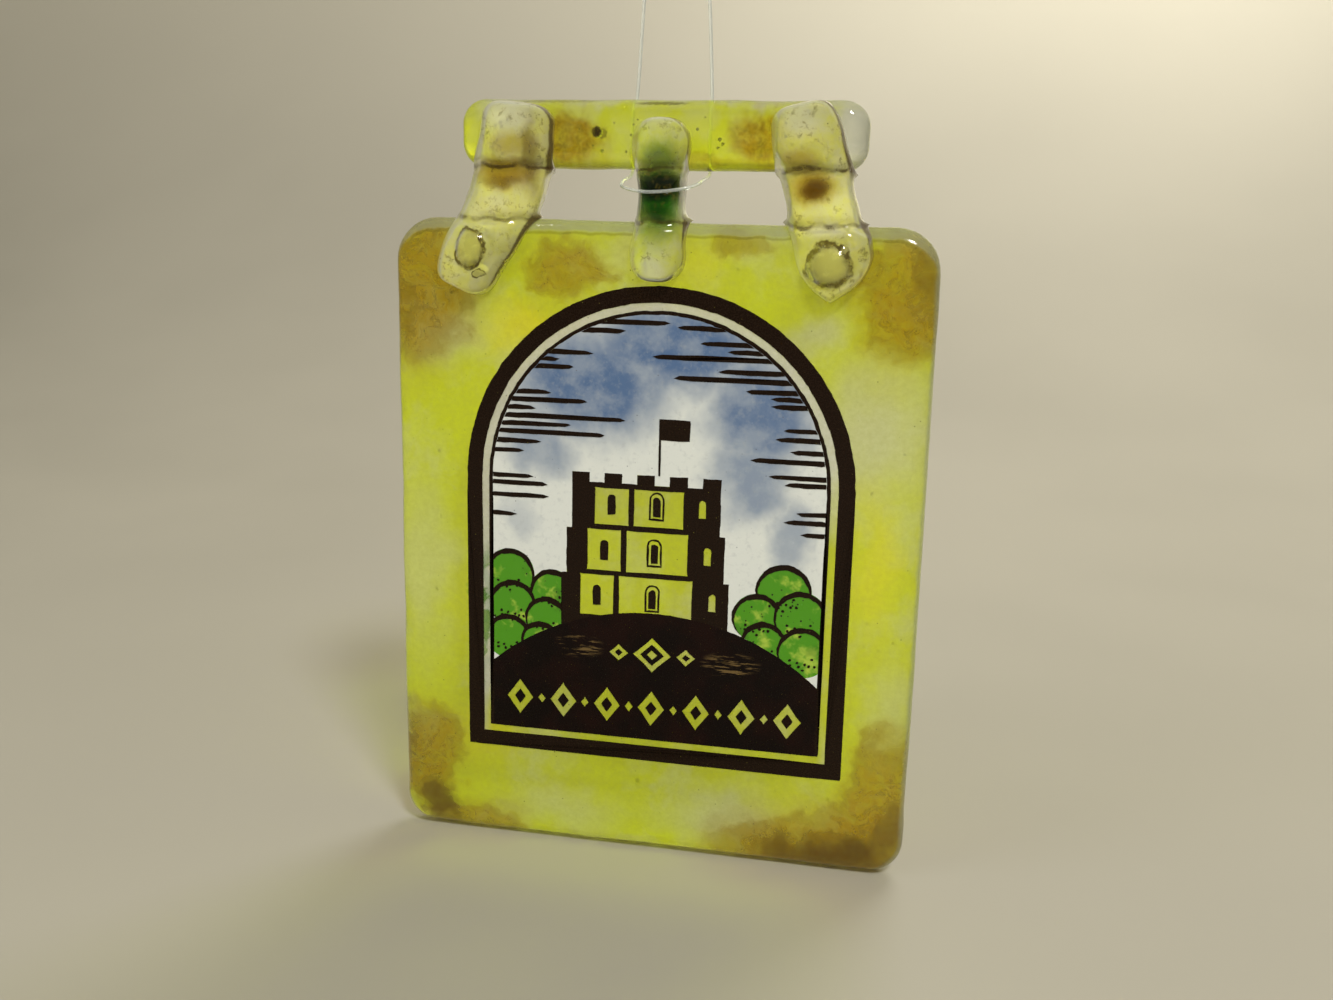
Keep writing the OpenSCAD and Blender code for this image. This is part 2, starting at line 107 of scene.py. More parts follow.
class GlassTileSizes(bpy.types.PropertyGroup):
    """Sizes of the glass, in metres"""

    edge_round: length("Edge rounding", "How far the melted edge is rounded", 0.0019, 0.0005, 0.0019)
    corner_top: length("Upper corners", "Radius of the pane's upper corners", 0.005, 0.003, 0.009)
    corner_bottom: length("Lower corners", "Radius of the pane's lower corners", 0.004, 0.003, 0.009)
    bar_corner: length("Bar corners", "Radius of the bar's corners", 0.0029, 0.002, 0.0035)
    wobble: length("Edge wobble", "How far the melted edge wanders inwards", 0.0004, 0.0, 0.001)
    strap_proud: length("Strap height", "How far a strap stands in front of the pane",
                        0.0024, 0.0016, 0.0035)
    strap_dip: length("Strap dip", "How far a strap slumps back over the gap", 0.0009, 0.0, 0.0014)
    thread_d: length("Thread", "Diameter of the nylon thread", 0.00035, 0.0003, 0.0004)
    bubbles: IntProperty(name="Bubbles", description="Small bubbles trapped in the pane",
                         default=44, min=0, max=300)


class GlassTileColours(bpy.types.PropertyGroup):
    """Stains and enamels"""

    lime: tint("Lime stain", "Main stain of the pane", (0.78, 0.86, 0.035))
    pale: tint("Pale stain", "Where the stain is thin", (0.78, 0.80, 0.50))
    amber: tint("Amber stain", "Where the stain pooled", (0.55, 0.365, 0.004))
    brown: tint("Burnt stain", "The darkest pools of stain", (0.16, 0.075, 0.006))
    green: tint("Strap green", "The green of the middle strap", (0.018, 0.16, 0.003))
    ink: tint("Print", "Fired dark print", (0.009, 0.0035, 0.0012))
    sky: tint("Sky blue", "Blue enamel of the sky", (0.095, 0.17, 0.33))
    leaf: tint("Leaf green", "Green enamel of the bushes", (0.075, 0.31, 0.006))


def sizes():
    return bpy.context.scene.glass_tile_sizes


def colours():
    return bpy.context.scene.glass_tile_colours


# ---------- Node helpers ----------


class Net:
    """A node tree with short ways to add and join nodes"""

    def __init__(self, tree):
        self.tree = tree

    def node(self, kind, **settings):
        made = self.tree.nodes.new(kind)
        for key, value in settings.items():
            setattr(made, key, value)
        return made

    def put(self, value, socket):
        if isinstance(value, bpy.types.NodeSocket):
            self.tree.links.new(value, socket)
        else:
            socket.default_value = value

    def math(self, operation, a, b=0.0):
        made = self.node("ShaderNodeMath", operation=operation)
        self.put(a, made.inputs[0])
        self.put(b, made.inputs[1])
        return made.outputs[0]

    def times(self, a, b):
        return self.math("MULTIPLY", a, b)

    def plus(self, a, b):
        return self.math("ADD", a, b)

    def minus(self, a, b):
        return self.math("SUBTRACT", a, b)

    def apart(self, a, b):
        return self.math("ABSOLUTE", self.minus(a, b))

    def vector(self, operation, a, b=(0, 0, 0), scale=None):
        made = self.node("ShaderNodeVectorMath", operation=operation)
        self.put(a, made.inputs[0])
        if operation not in ("LENGTH", "SCALE"):
            self.put(b, made.inputs[1])
        if scale is not None:
            self.put(scale, made.inputs["Scale"])
        return made.outputs["Value" if operation == "LENGTH" else "Vector"]

    def fade(self, value, low, high, to_low=0.0, to_high=1.0):
        made = self.node("ShaderNodeMapRange", interpolation_type="SMOOTHSTEP", clamp=True)
        for item, socket in zip((value, low, high, to_low, to_high), made.inputs):
            self.put(item, socket)
        return made.outputs[0]

    def mix(self, share, a, b):
        made = self.node("ShaderNodeMix", data_type="RGBA")
        self.put(share, made.inputs[0])
        self.put(a if isinstance(a, bpy.types.NodeSocket) else (*a, 1), made.inputs[6])
        self.put(b if isinstance(b, bpy.types.NodeSocket) else (*b, 1), made.inputs[7])
        return made.outputs[2]

    def noise(self, vector, scale, detail=3.0, rough=0.5, out="Fac"):
        made = self.node("ShaderNodeTexNoise")
        self.put(vector, made.inputs["Vector"])
        made.inputs["Scale"].default_value = scale
        made.inputs["Detail"].default_value = detail
        made.inputs["Roughness"].default_value = rough
        return made.outputs[out]

    def cells(self, vector, scale):
        made = self.node("ShaderNodeTexVoronoi", feature="F1")
        self.put(vector, made.inputs["Vector"])
        made.inputs["Scale"].default_value = scale
        return made.outputs["Distance"]

    def split(self, vector):
        made = self.node("ShaderNodeSeparateXYZ")
        self.put(vector, made.inputs[0])
        return made.outputs

    def bump(self, height, strength, distance):
        made = self.node("ShaderNodeBump")
        made.inputs["Strength"].default_value = strength
        made.inputs["Distance"].default_value = distance
        self.put(height, made.inputs["Height"])
        return made.outputs[0]

    def attribute(self, name):
        return self.node("ShaderNodeAttribute", attribute_name=name).outputs["Fac"]

    def group(self, tree, **values):
        made = self.node("ShaderNodeGroup")
        made.node_tree = tree
        for key, value in values.items():
            self.put(value, made.inputs[key.replace("_", " ")])
        return made.outputs


def new_group(name, vectors, numbers, *outputs):
    """A shader node group whose inputs are vectors, and numbers with their defaults"""
    tree = bpy.data.node_groups.new(name, "ShaderNodeTree")
    for label in vectors:
        tree.interface.new_socket(label, in_out="INPUT", socket_type="NodeSocketVector")
    for label, default in numbers.items():
        socket = tree.interface.new_socket(label, in_out="INPUT", socket_type="NodeSocketFloat")
        socket.default_value = default
    for label in outputs:
        kind = "NodeSocketVector" if label == "Place" else "NodeSocketFloat"
        tree.interface.new_socket(label, in_out="OUTPUT", socket_type=kind)
    net = Net(tree)
    return net, net.node("NodeGroupInput").outputs, net.node("NodeGroupOutput").inputs


def place_group():
    """Object coordinates in millimetres, from the pane's middle and its top edge"""
    if "tile place" in bpy.data.node_groups:
        return bpy.data.node_groups["tile place"]
    net, _, out = new_group("tile place", (), {}, "Place")
    coord = net.node("ShaderNodeTexCoord").outputs["Object"]
    made = net.node("ShaderNodeMapping")
    made.inputs["Location"].default_value = (0, 0, -PANE_TOP / MM)
    made.inputs["Scale"].default_value = (1 / MM, 1 / MM, 1 / MM)
    net.put(coord, made.inputs["Vector"])
    net.put(made.outputs[0], out["Place"])
    return net.tree


def pool_group():
    """One soft pool of stain: 1 in its middle, 0 outside"""
    if "stain pool" in bpy.data.node_groups:
        return bpy.data.node_groups["stain pool"]
    net, given, out = new_group("stain pool", ("Place", "Middle", "Reach"), {"Soft": 0.5}, "Mask")
    away = net.vector("DIVIDE", net.vector("SUBTRACT", given["Place"], given["Middle"]), given["Reach"])
    distance = net.vector("LENGTH", away)
    inner = net.minus(1.0, given["Soft"])
    net.put(net.fade(distance, inner, 1.0, 1.0, 0.0), out["Mask"])
    return net.tree


def arch_group():
    """Signed distance from an arch of the given half width: negative inside it"""
    if "arch distance" in bpy.data.node_groups:
        return bpy.data.node_groups["arch distance"]
    net, given, out = new_group(
        "arch distance", ("Place",), {"Middle": 0.6, "Spring": -28.7, "Half": 20.0}, "Distance")
    part = net.split(given["Place"])
    x = net.minus(part["X"], given["Middle"])
    z = net.math("MAXIMUM", net.minus(part["Z"], given["Spring"]), 0.0)
    away = net.math("SQRT", net.plus(net.times(x, x), net.times(z, z)))
    net.put(net.minus(away, given["Half"]), out["Distance"])
    return net.tree


def melt_group():
    """Melted glass surface: a height with soft ripples and pits, a roughness and a dirt mask"""
    if "melted surface" in bpy.data.node_groups:
        return bpy.data.node_groups["melted surface"]
    net, given, out = new_group(
        "melted surface", ("Place",), {"Ripple": 1.0, "Pits": 1.0, "Smooth": 0.04},
        "Height", "Roughness", "Specks")
    ripple = net.times(net.noise(given["Place"], 0.22, 2.0, 0.5), given["Ripple"])
    fine = net.times(net.noise(given["Place"], 1.6, 2.0, 0.6), 0.09)
    pit = net.fade(net.cells(given["Place"], 0.62), 0.0, 0.16, 1.0, 0.0)
    pit = net.times(pit, given["Pits"])
    height = net.minus(net.plus(ripple, fine), net.times(pit, 0.16))
    net.put(height, out["Height"])
    wear = net.fade(net.noise(given["Place"], 0.5, 4.0, 0.65), 0.45, 0.75, 0.0, 0.09)
    net.put(net.plus(given["Smooth"], net.plus(wear, net.times(pit, 0.25))), out["Roughness"])
    shifted = net.vector("ADD", given["Place"], (31.0, 17.0, 5.0))
    spot = net.fade(net.cells(shifted, 0.85), 0.02, 0.085, 1.0, 0.0)
    few = net.fade(net.noise(shifted, 0.4, 1.0, 0.5), 0.42, 0.56)
    net.put(net.times(spot, few), out["Specks"])
    return net.tree


def grain_group():
    """Fired print: fine grain and pinholes"""
    if "fired grain" in bpy.data.node_groups:
        return bpy.data.node_groups["fired grain"]
    net, given, out = new_group(
        "fired grain", ("Place",), {"Pinholes": 1.0}, "Grain", "Holes", "Height")
    grain = net.noise(given["Place"], 5.0, 4.0, 0.7)
    net.put(net.fade(grain, 0.35, 0.7), out["Grain"])
    hole = net.fade(net.cells(given["Place"], 1.7), 0.03, 0.11, 1.0, 0.0)
    few = net.fade(net.noise(given["Place"], 0.55, 2.0, 0.6), 0.5, 0.62)
    net.put(net.times(net.times(hole, few), given["Pinholes"]), out["Holes"])
    net.put(net.plus(net.times(grain, 0.5), net.times(hole, -0.4)), out["Height"])
    return net.tree


def new_material(name):
    made = bpy.data.materials.new(name)
    made.use_nodes = True
    net = Net(made.node_tree)
    shader = made.node_tree.nodes["Principled BSDF"]
    place = net.group(place_group())["Place"]
    return made, net, shader, place


def let_lamps_through(net, shader, colour):
    """Light from lamps passes the glass, tinted by its stain"""
    clear = net.node("ShaderNodeBsdfTransparent")
    net.put(colour if isinstance(colour, bpy.types.NodeSocket) else (*colour, 1), clear.inputs["Color"])
    mixed = net.node("ShaderNodeMixShader")
    net.put(net.node("ShaderNodeLightPath").outputs["Is Shadow Ray"], mixed.inputs[0])
    net.put(shader.outputs[0], mixed.inputs[1])
    net.put(clear.outputs[0], mixed.inputs[2])
    out = next(n for n in net.tree.nodes if n.type == "OUTPUT_MATERIAL")
    net.put(mixed.outputs[0], out.inputs["Surface"])


def dress(net, shader, colour, rough, height, strength, depth, **fixed):
    """Joins colour, roughness and bump to a shader and sets its constants"""
    net.put(colour, shader.inputs["Base Color"])
    net.put(rough, shader.inputs["Roughness"])
    net.put(net.bump(height, strength, depth), shader.inputs["Normal"])
    for label, value in fixed.items():
        shader.inputs[label.replace("_", " ")].default_value = value


def melted(net, shader, place, colour, specks, ripple, pits, smooth, strength, depth, **fixed):
    """Gives glass or enamel its melted surface; specks is the strength and colour of its dirt"""
    surface = net.group(melt_group(), Place=place, Ripple=ripple, Pits=pits, Smooth=smooth)
    if specks:
        colour = net.mix(net.times(surface["Specks"], specks[0]), colour, specks[1])
    dress(net, shader, colour, surface["Roughness"], surface["Height"], strength, depth, **fixed)
    return colour


def pools(net, place, spots, soft=0.6):
    """The strongest of several pools of stain: X, height, reach in X, reach in height, strength"""
    total = None
    for x, z, wide, high, strength in spots:
        pool = net.group(pool_group(), Place=place, Middle=(x, 0, z), Reach=(wide, 60, high), Soft=soft)
        mask = net.times(pool["Mask"], strength)
        total = mask if total is None else net.math("MAXIMUM", total, mask)
    return total


def wandering(net, place, scale, amount, detail=3.0):
    """The place, shifted by slow noise so that stains have ragged outlines"""
    shift = net.vector("SUBTRACT", net.noise(place, scale, detail, 0.6, "Color"), (0.5, 0.5, 0.5))
    return net.vector("ADD", place, net.vector("SCALE", shift, scale=amount))


# ---------- Mesh helpers ----------


def finished(bm, name, material, body, replaces=(), smooth=True, bubble=None):
    """Turns a bmesh into a piece that rides on a body; bubble is the material of its hollows"""
    bm.normal_update()
    mesh = bpy.data.meshes.new(name)
    bm.to_mesh(mesh)
    bm.free()
    for face in mesh.polygons:
        face.use_smooth = smooth
    piece = bpy.data.objects.new(name, mesh)
    bpy.context.scene.collection.objects.link(piece)
    mesh.materials.append(material)
    if bubble:
        mesh.materials.append(bubble)
    if body is None:
        return piece
    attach(piece, body)
    if replaces:
        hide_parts(*replaces)
    return piece


def bevelled(bm, edges, offset, segments):
    bmesh.ops.bevel(bm, geom=edges, offset=offset, offset_type="OFFSET", segments=segments,
                    profile=0.5, affect="EDGES", clamp_overlap=False, material=-1)


def cut_across(bm, axis, places):
    """Cuts the whole mesh at the given places along one axis"""
    normal = Vector((0, 0, 0))
    normal[axis] = 1
    for at in places:
        point = normal * at
        bmesh.ops.bisect_plane(bm, geom=bm.verts[:] + bm.edges[:] + bm.faces[:], dist=1e-7,
                               plane_co=point, plane_no=normal)


def block(lo, hi):
    bm = bmesh.new()
    bmesh.ops.create_cube(bm, size=1.0)
    size = hi - lo
    bmesh.ops.scale(bm, vec=size, verts=bm.verts)
    bmesh.ops.translate(bm, vec=(lo + hi) / 2, verts=bm.verts)
    return bm


def inside_by(x, z, lo, hi, corner):
    """How far a point lies inside a rectangle with round corners"""
    dx = min(x - lo[0], hi[0] - x)
    dz = min(z - lo[1], hi[1] - z)
    if dx < corner and dz < corner:
        return corner - math.hypot(corner - dx, corner - dz)
    return min(dx, dz)


def along_y(edge):
    a, b = edge.verts
    return abs(a.co.x - b.co.x) < 1e-7 and abs(a.co.z - b.co.z) < 1e-7


def on_plane(edge, y):
    return all(abs(v.co.y - y) < 1e-7 for v in edge.verts)


def between(low, high, count):
    return [low + (high - low) * i / count for i in range(1, count)]


def rounded_slab(lo, hi, r_top, r_bottom, edge_round, count_x, count_z):
    """A plate with round corners and melted edges, cut into a grid"""
    bm = block(lo, hi)
    middle = (lo.z + hi.z) / 2
    upper = [e for e in bm.edges if along_y(e) and e.verts[0].co.z > middle]
    bevelled(bm, upper, r_top, 9)
    lower = [e for e in bm.edges if along_y(e) and e.verts[0].co.z < lo.z + 1e-6]
    bevelled(bm, lower, r_bottom, 9)
    rim = [e for e in bm.edges if on_plane(e, lo.y) or on_plane(e, hi.y)]
    bevelled(bm, rim, edge_round, 7)
    cut_across(bm, 0, between(lo.x + r_top, hi.x - r_top, count_x))
    cut_across(bm, 2, between(lo.z + r_bottom, hi.z - r_top, count_z))
    return bm


def wander_edges(bm, lo, hi, amount, reach, seed, corner):
    """Melted edges wander inwards, and the back is a little uneven; rim is 1 at the edge, 0 past reach"""
    rim = bm.verts.layers.float.new("rim")
    for v in bm.verts:
        depth = inside_by(v.co.x, v.co.z, (lo.x, lo.z), (hi.x, hi.z), corner)
        v[rim] = min(max(1 - depth / reach, 0.0), 1.0)
        p = v.co / MM
        n = noise.noise(Vector((p.x * 0.11, seed, p.z * 0.11))) * 0.5 + 0.5
        m = noise.noise(Vector((p.x * 0.33, seed + 9, p.z * 0.33))) * 0.5 + 0.5
        inwards = amount * (0.8 * n + 0.35 * m)
        for axis in (0, 2):
            near_low = max(0.0, 1 - (v.co[axis] - lo[axis]) / reach)
            near_high = max(0.0, 1 - (hi[axis] - v.co[axis]) / reach)
            v.co[axis] += inwards * (near_low - near_high)
        if v.co.y > (lo.y + hi.y) / 2:
            v.co.y -= amount * 0.5 * m


def ragged_copy(node, name, material, amount, step=0.35):
    """A copy of a printed node whose outlines wander a little, as a screened print's do"""
    bm = bmesh.new()
    bm.from_mesh(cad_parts[node].data)
    bmesh.ops.remove_doubles(bm, verts=bm.verts, dist=1e-7)
    outline = {}
    for edge in bm.edges:
        flat = abs(edge.verts[0].co.y - edge.verts[1].co.y) < 1e-7
        if flat and len(edge.link_faces) == 2 and edge.calc_face_angle(0.0) > 1.0:
            cuts = min(int(edge.calc_length() / MM / step), 90)
            if cuts:
                outline.setdefault(cuts, []).append(edge)
    for cuts, edges in outline.items():
        bmesh.ops.subdivide_edges(bm, edges=edges, cuts=cuts, use_grid_fill=False)
    bmesh.ops.triangulate(bm, faces=[f for f in bm.faces if len(f.verts) > 4])
    for v in bm.verts:
        p = v.co / MM
        for scale, share in ((1.1, 0.7), (3.7, 0.5)):
            v.co.x += noise.noise(Vector((p.x * scale, 2.0, p.z * scale))) * amount * share * MM
            v.co.z += noise.noise(Vector((p.x * scale, 7.0, p.z * scale))) * amount * share * MM
    return finished(bm, name, material, "glass", (node,), smooth=False)


def over_top(x, y, z):
    """A place in metres from X, depth and height over the pane's top in millimetres"""
    return Vector((x, y, z + PANE_TOP / MM)) * MM


def add_void(bm, centre, radii, detail, tilt=0.0, wall=1):
    """A trapped bubble: a closed shell whose faces look into its hollow; wall is its material"""
    start = len(bm.faces)
    made = bmesh.ops.create_icosphere(bm, subdivisions=detail, radius=1.0)
    verts = made["verts"]
    bmesh.ops.scale(bm, vec=radii, verts=verts)
    bmesh.ops.rotate(bm, cent=(0, 0, 0), matrix=Matrix.Rotation(tilt, 3, "Y"), verts=verts)
    bmesh.ops.translate(bm, vec=centre, verts=verts)
    bm.faces.ensure_lookup_table()
    shell = bm.faces[start:]
    bmesh.ops.reverse_faces(bm, faces=shell)
    for face in shell:
        face.material_index = wall


def round_curve(name):
    """An empty curve as thick as the thread"""
    curve = bpy.data.curves.new(name, "CURVE")
    curve.dimensions = "3D"
    curve.bevel_depth = sizes().thread_d / 2
    curve.bevel_resolution = 3
    curve.use_fill_caps = True
    return curve


def soft_line(curve, places, resolution):
    """Adds a smooth line through the given places"""
    spline = curve.splines.new("BEZIER")
    spline.bezier_points.add(len(places) - 1)
    for point, place in zip(spline.bezier_points, places):
        point.co = place
        point.handle_left_type = point.handle_right_type = "AUTO"
    spline.resolution_u = resolution


# ---------- Materials ----------


def stained_glass():
    """The pane: lime stain with pale zones and pooled amber, bare inside the picture's arch"""
    made, net, shader, place = new_material("stained glass")
    stain = colours()
    loose = wandering(net, place, 0.16, 9.0)
    ragged = wandering(net, wandering(net, loose, 0.5, 2.6), 2.2, 0.6)
    thin = pools(net, loose, (
        (-24, -12, 9, 7, 0.7), (24, -22, 9, 12, 0.9), (17, -12, 6, 5, 0.7), (-27, -40, 6, 16, 0.55),
        (10, -67, 14, 6, 0.8), (-10, -68, 12, 5, 0.6), (-3, -3, 5, 3, 0.5), (27, -52, 4, 9, 0.5)), 0.9)
    patchy = net.fade(net.noise(loose, 0.11, 4.0, 0.6), 0.42, 0.72, 0.0, 0.55)
    colour = net.mix(net.math("MAXIMUM", thin, patchy), stain.lime, stain.pale)
    lemon = pools(net, loose, ((-15, -12, 8, 5, 0.9), (2, -3.5, 9, 4, 0.5), (25, -36, 4, 12, 0.6),
                               (-20, -60, 7, 6, 0.5), (18, -66, 10, 5, 0.4)), 0.9)
    colour = net.mix(lemon, colour, (0.95, 0.92, 0.04))
    strong = net.fade(net.noise(ragged, 0.5, 5.0, 0.62), 0.30, 0.60, 0.70, 1.0)
    dusk = net.fade(net.noise(ragged, 0.8, 4.0, 0.7), 0.42, 0.7, 0.0, 0.55)
    amber = pools(net, ragged, (
        (-27, -7, 8, 12, 0.95), (-9.5, -5, 6, 4.5, 0.8), (27, -7, 7, 9, 0.9), (9, -2, 4, 2.2, 0.4),
        (-27, -63, 5.5, 8, 0.9), (21, -71, 17, 7, 1.0), (27, -64, 5.5, 11, 0.9), (25.5, -68, 8, 6, 1.0),
        (-21, -71.5, 9, 3.5, 0.7), (22, -4, 8, 4, 0.7)), 0.6)
    colour = net.mix(net.times(amber, strong), colour, stain.amber)
    colour = net.mix(net.times(amber, dusk), colour, (0.22, 0.135, 0.006))
    seam = net.times(net.fade(amber, 0.1, 0.45), net.fade(amber, 0.5, 0.9, 1.0, 0.0))
    colour = net.mix(net.times(seam, 0.3), colour, (0.36, 0.24, 0.004))
    burnt = pools(net, ragged, (
        (-25.5, -69.5, 3.5, 4, 0.85), (22, -71.5, 13, 4.6, 0.9), (28, -68, 2.8, 6, 0.6),
        (-29, -9, 1.5, 8, 0.3),
        (28.5, -5, 2.5, 5, 0.4), (-29.5, -64, 1.4, 6, 0.6)), 0.7)
    colour = net.mix(burnt, colour, stain.brown)
    inside = net.group(arch_group(), Place=place, Half=21.3)["Distance"]
    part = net.split(place)
    over_foot = net.fade(part["Z"], -59.6, -59.2)
    picture = net.times(net.fade(inside, -0.25, 0.1, 1.0, 0.0), over_foot)
    yellowed = pools(net, loose, ((21.5, -43, 5.5, 19, 1.0), (3, -61.5, 26, 3.2, 0.75)), 0.5)
    bare = net.times(picture, net.minus(1.0, yellowed))
    beside = net.math("ABSOLUTE", net.plus(part["X"], 1.0))
    above = net.math("ABSOLUTE", net.plus(part["Z"], 36.0))
    keep = net.times(net.fade(beside, 8.6, 9.4, 1.0, 0.0), net.fade(above, 9.2, 10.0, 1.0, 0.0))
    keep = net.math("MAXIMUM", keep, pools(net, place, ((0.6, -58, 21, 14, 1.0),), 0.1))
    bare = net.times(bare, net.minus(1.0, keep))
    colour = net.mix(bare, colour, (0.86, 0.86, 0.80))
    spill = pools(net, ragged, ((-19.6, -44, 1.2, 8, 0.9), (-19.9, -51, 0.8, 3, 0.7)), 0.6)
    colour = net.mix(spill, colour, stain.leaf)
    rim = net.attribute("rim")
    rim = net.plus(rim, net.times(net.minus(net.noise(place, 0.5, 3.0), 0.5), 0.22))
    upper = net.fade(part["Z"], -4.5, -1.5)
    start = net.minus(0.78, net.times(upper, 0.26))
    colour = net.mix(net.fade(rim, start, net.plus(start, 0.16), 0.0, 0.8), colour, (0.46, 0.49, 0.34))
    # Painted shadow: a dark band along the bottom edge stands in for the contact shadow seen through the
    # glass. Painted shade: a dark line near the top, where the flat face turns into the rounded edge.
    contact_shadow = net.times(net.fade(part["Z"], -71.9, -71.2, 1.0, 0.0),
                     net.fade(net.noise(place, 0.9, 3.0), 0.35, 0.6, 0.45, 1.0))
    line = net.times(net.fade(rim, 0.44, 0.52), net.fade(rim, 0.54, 0.62, 0.45, 0.0))
    line = net.math("MAXIMUM", net.times(line, upper), net.times(contact_shadow, 0.85))
    colour = net.mix(line, colour, (0.11, 0.085, 0.012))
    veil = net.fade(net.noise(place, 1.5, 4.0, 0.7), 0.3, 0.7, 0.0, 0.22)
    colour = net.mix(veil, colour, (0.42, 0.43, 0.10))
    colour = melted(net, shader, place, colour, (0.85, (0.10, 0.07, 0.02)), 1.0, 0.3, 0.06, 0.7, 0.0004,
                    Transmission_Weight=0.62, IOR=1.5, Specular_IOR_Level=0.35)
    let_lamps_through(net, shader, colour)
    return made


def bar_glass():
    """The bar: yellow with amber smudges, clear at its right end"""
    made, net, shader, place = new_material("bar glass")
    stain = colours()
    loose = wandering(net, place, 0.3, 4.0)
    patchy = net.fade(net.noise(loose, 0.22, 4.0, 0.6), 0.4, 0.7, 0.0, 0.5)
    colour = net.mix(patchy, stain.lime, stain.pale)
    amber = pools(net, loose, (
        (-9.5, 8.4, 4.6, 3, 1.0), (10.6, 8.6, 4.2, 2.8, 0.95), (-14.5, 7.4, 5, 4, 0.5),
        (15, 7, 4, 4, 0.6),
        (3, 6.3, 8, 1, 0.5)), 0.5)
    mottled = net.fade(net.noise(loose, 0.9, 4.0, 0.65), 0.35, 0.65, 0.55, 1.0)
    colour = net.mix(net.times(amber, mottled), colour, stain.amber)
    dusk = net.fade(net.noise(loose, 1.1, 4.0, 0.7), 0.40, 0.68, 0.0, 0.6)
    colour = net.mix(net.times(amber, dusk), colour, (0.20, 0.12, 0.006))
    clear = pools(net, loose, ((21.5, 9, 5.5, 5, 0.95), (-17.5, 12, 4, 3, 0.6)), 0.5)
    clear = net.math("MAXIMUM", clear, net.times(net.fade(net.split(loose)["Z"], 11.0, 12.3), 0.85))
    colour = net.mix(clear, colour, (0.78, 0.79, 0.72))
    part = net.split(place)
    # Dark toothed band along the bar's lower edge: partly the toothed end of the stain, partly painted
    # shade of the lower rounded edge, strongest over the right gap.
    low = net.fade(part["Z"], 5.1, 6.0, 1.0, 0.0)
    teeth = net.fade(net.cells(net.vector("MULTIPLY", place, (1.0, 0.2, 0.35)), 1.3), 0.25, 0.5, 1.0, 0.0)
    gap_edge_shade = net.times(net.fade(part["X"], 2.5, 4.5), net.fade(part["X"], 12.5, 14.0, 1.0, 0.0))
    dark = net.times(net.times(low, teeth), net.plus(net.times(gap_edge_shade, 0.75), 0.25))
    colour = net.mix(dark, colour, (0.05, 0.035, 0.006))
    spot = pools(net, wandering(net, place, 3.0, 0.5, 2.0), (
        (-6.6, 8.9, 0.65, 0.7, 0.95), (0.3, 11.8, 3.4, 0.22, 0.7), (-11, 12, 5, 0.14, 0.35)), 0.4)
    colour = net.mix(spot, colour, (0.05, 0.02, 0.005))
    colour = melted(net, shader, place, colour, (0.7, (0.15, 0.10, 0.03)), 1.1, 0.7, 0.03, 0.5, 0.0003,
                    Transmission_Weight=0.8, IOR=1.5)
    let_lamps_through(net, shader, colour)
    return made


def strap_glass(name, base, stains, deep, clear_zones, rings=()):
    """A strap: nearly clear glass with bands of stain across it, dark rings round big bubbles, and
    painted shade at its bends and along its edges
    """
    made, net, shader, place = new_material(name)
    loose = wandering(net, place, 0.45, 1.8)
    patchy = net.fade(net.noise(loose, 0.5, 3.0, 0.6), 0.35, 0.7)
    colour = net.mix(patchy, base, [0.6 * c + 0.34 for c in base])
    stain_colour, stain_spots = stains
    colour = net.mix(pools(net, loose, stain_spots, 0.75), colour, stain_colour)
    deep_colour, deep_spots = deep
    colour = net.mix(pools(net, loose, deep_spots, 0.75), colour, deep_colour)
    colour = net.mix(pools(net, loose, clear_zones, 0.7), colour, (0.95, 0.95, 0.76))
    olive = net.times(net.fade(net.noise(loose, 1.3, 4.0, 0.7), 0.52, 0.66),
                     net.fade(net.noise(loose, 0.35, 2.0, 0.5), 0.42, 0.62, 0.05, 0.6))
    colour = net.mix(olive, colour, (0.20, 0.16, 0.03))
    height = net.plus(net.split(place)["Z"], net.times(net.minus(net.noise(place, 0.35, 2.0), 0.5), 1.6))
    uneven = net.fade(net.noise(place, 0.7, 3.0), 0.35, 0.6, 0.35, 1.0)
    # Painted shade: dark lines across the strap where it bends over the pane's top edge and the bar's
    # lower edge.
    for at, strength in ((STRAP_CREASES[0], 0.7), (STRAP_CREASES[1], 0.85)):
        off = net.apart(height, at)
        line = net.times(net.fade(off, 0.06, 0.36, strength, 0.0), uneven)
        colour = net.mix(line, colour, (0.09, 0.05, 0.01))
    broken = net.fade(net.noise(loose, 0.9, 3.0, 0.6), 0.3, 0.55, 0.35, 0.95)
    for x, z, wide, high in rings:
        outer = pools(net, loose, ((x, z, wide, high, 1.0),), 0.12)
        inner = pools(net, loose, ((x, z, 0.82 * wide, 0.82 * high, 1.0),), 0.25)
        colour = net.mix(net.times(outer, broken), colour, (0.13, 0.09, 0.012))
        colour = net.mix(net.times(inner, 0.7), colour, (0.93, 0.93, 0.30))
    # Painted shade: a dark brown band on the strap's rounded edges, stronger on its right (lee) side and
    # where it lies on glass, stands in for the shade its edge refracts.
    rim = net.attribute("rim")
    lee = net.attribute("lee")
    on_glass = net.fade(net.apart(height, 2.45), 1.2, 2.7, 0.35, 1.0)
    edge = net.plus(rim, net.times(lee, 0.22))
    edge = net.fade(net.plus(edge, net.times(net.noise(place, 0.8, 3.0), 0.3)), 0.62, 0.95)
    edge = net.times(net.times(edge, on_glass), net.plus(0.56, net.times(lee, 0.32)))
    colour = net.mix(edge, colour, (0.080, 0.030, 0.010))
    colour = melted(net, shader, place, colour, (0.75, (0.12, 0.08, 0.02)), 1.0, 0.9, 0.02, 0.55, 0.0003,
                    Transmission_Weight=0.6, IOR=1.26, Specular_IOR_Level=0.9)
    let_lamps_through(net, shader, colour)
    return made


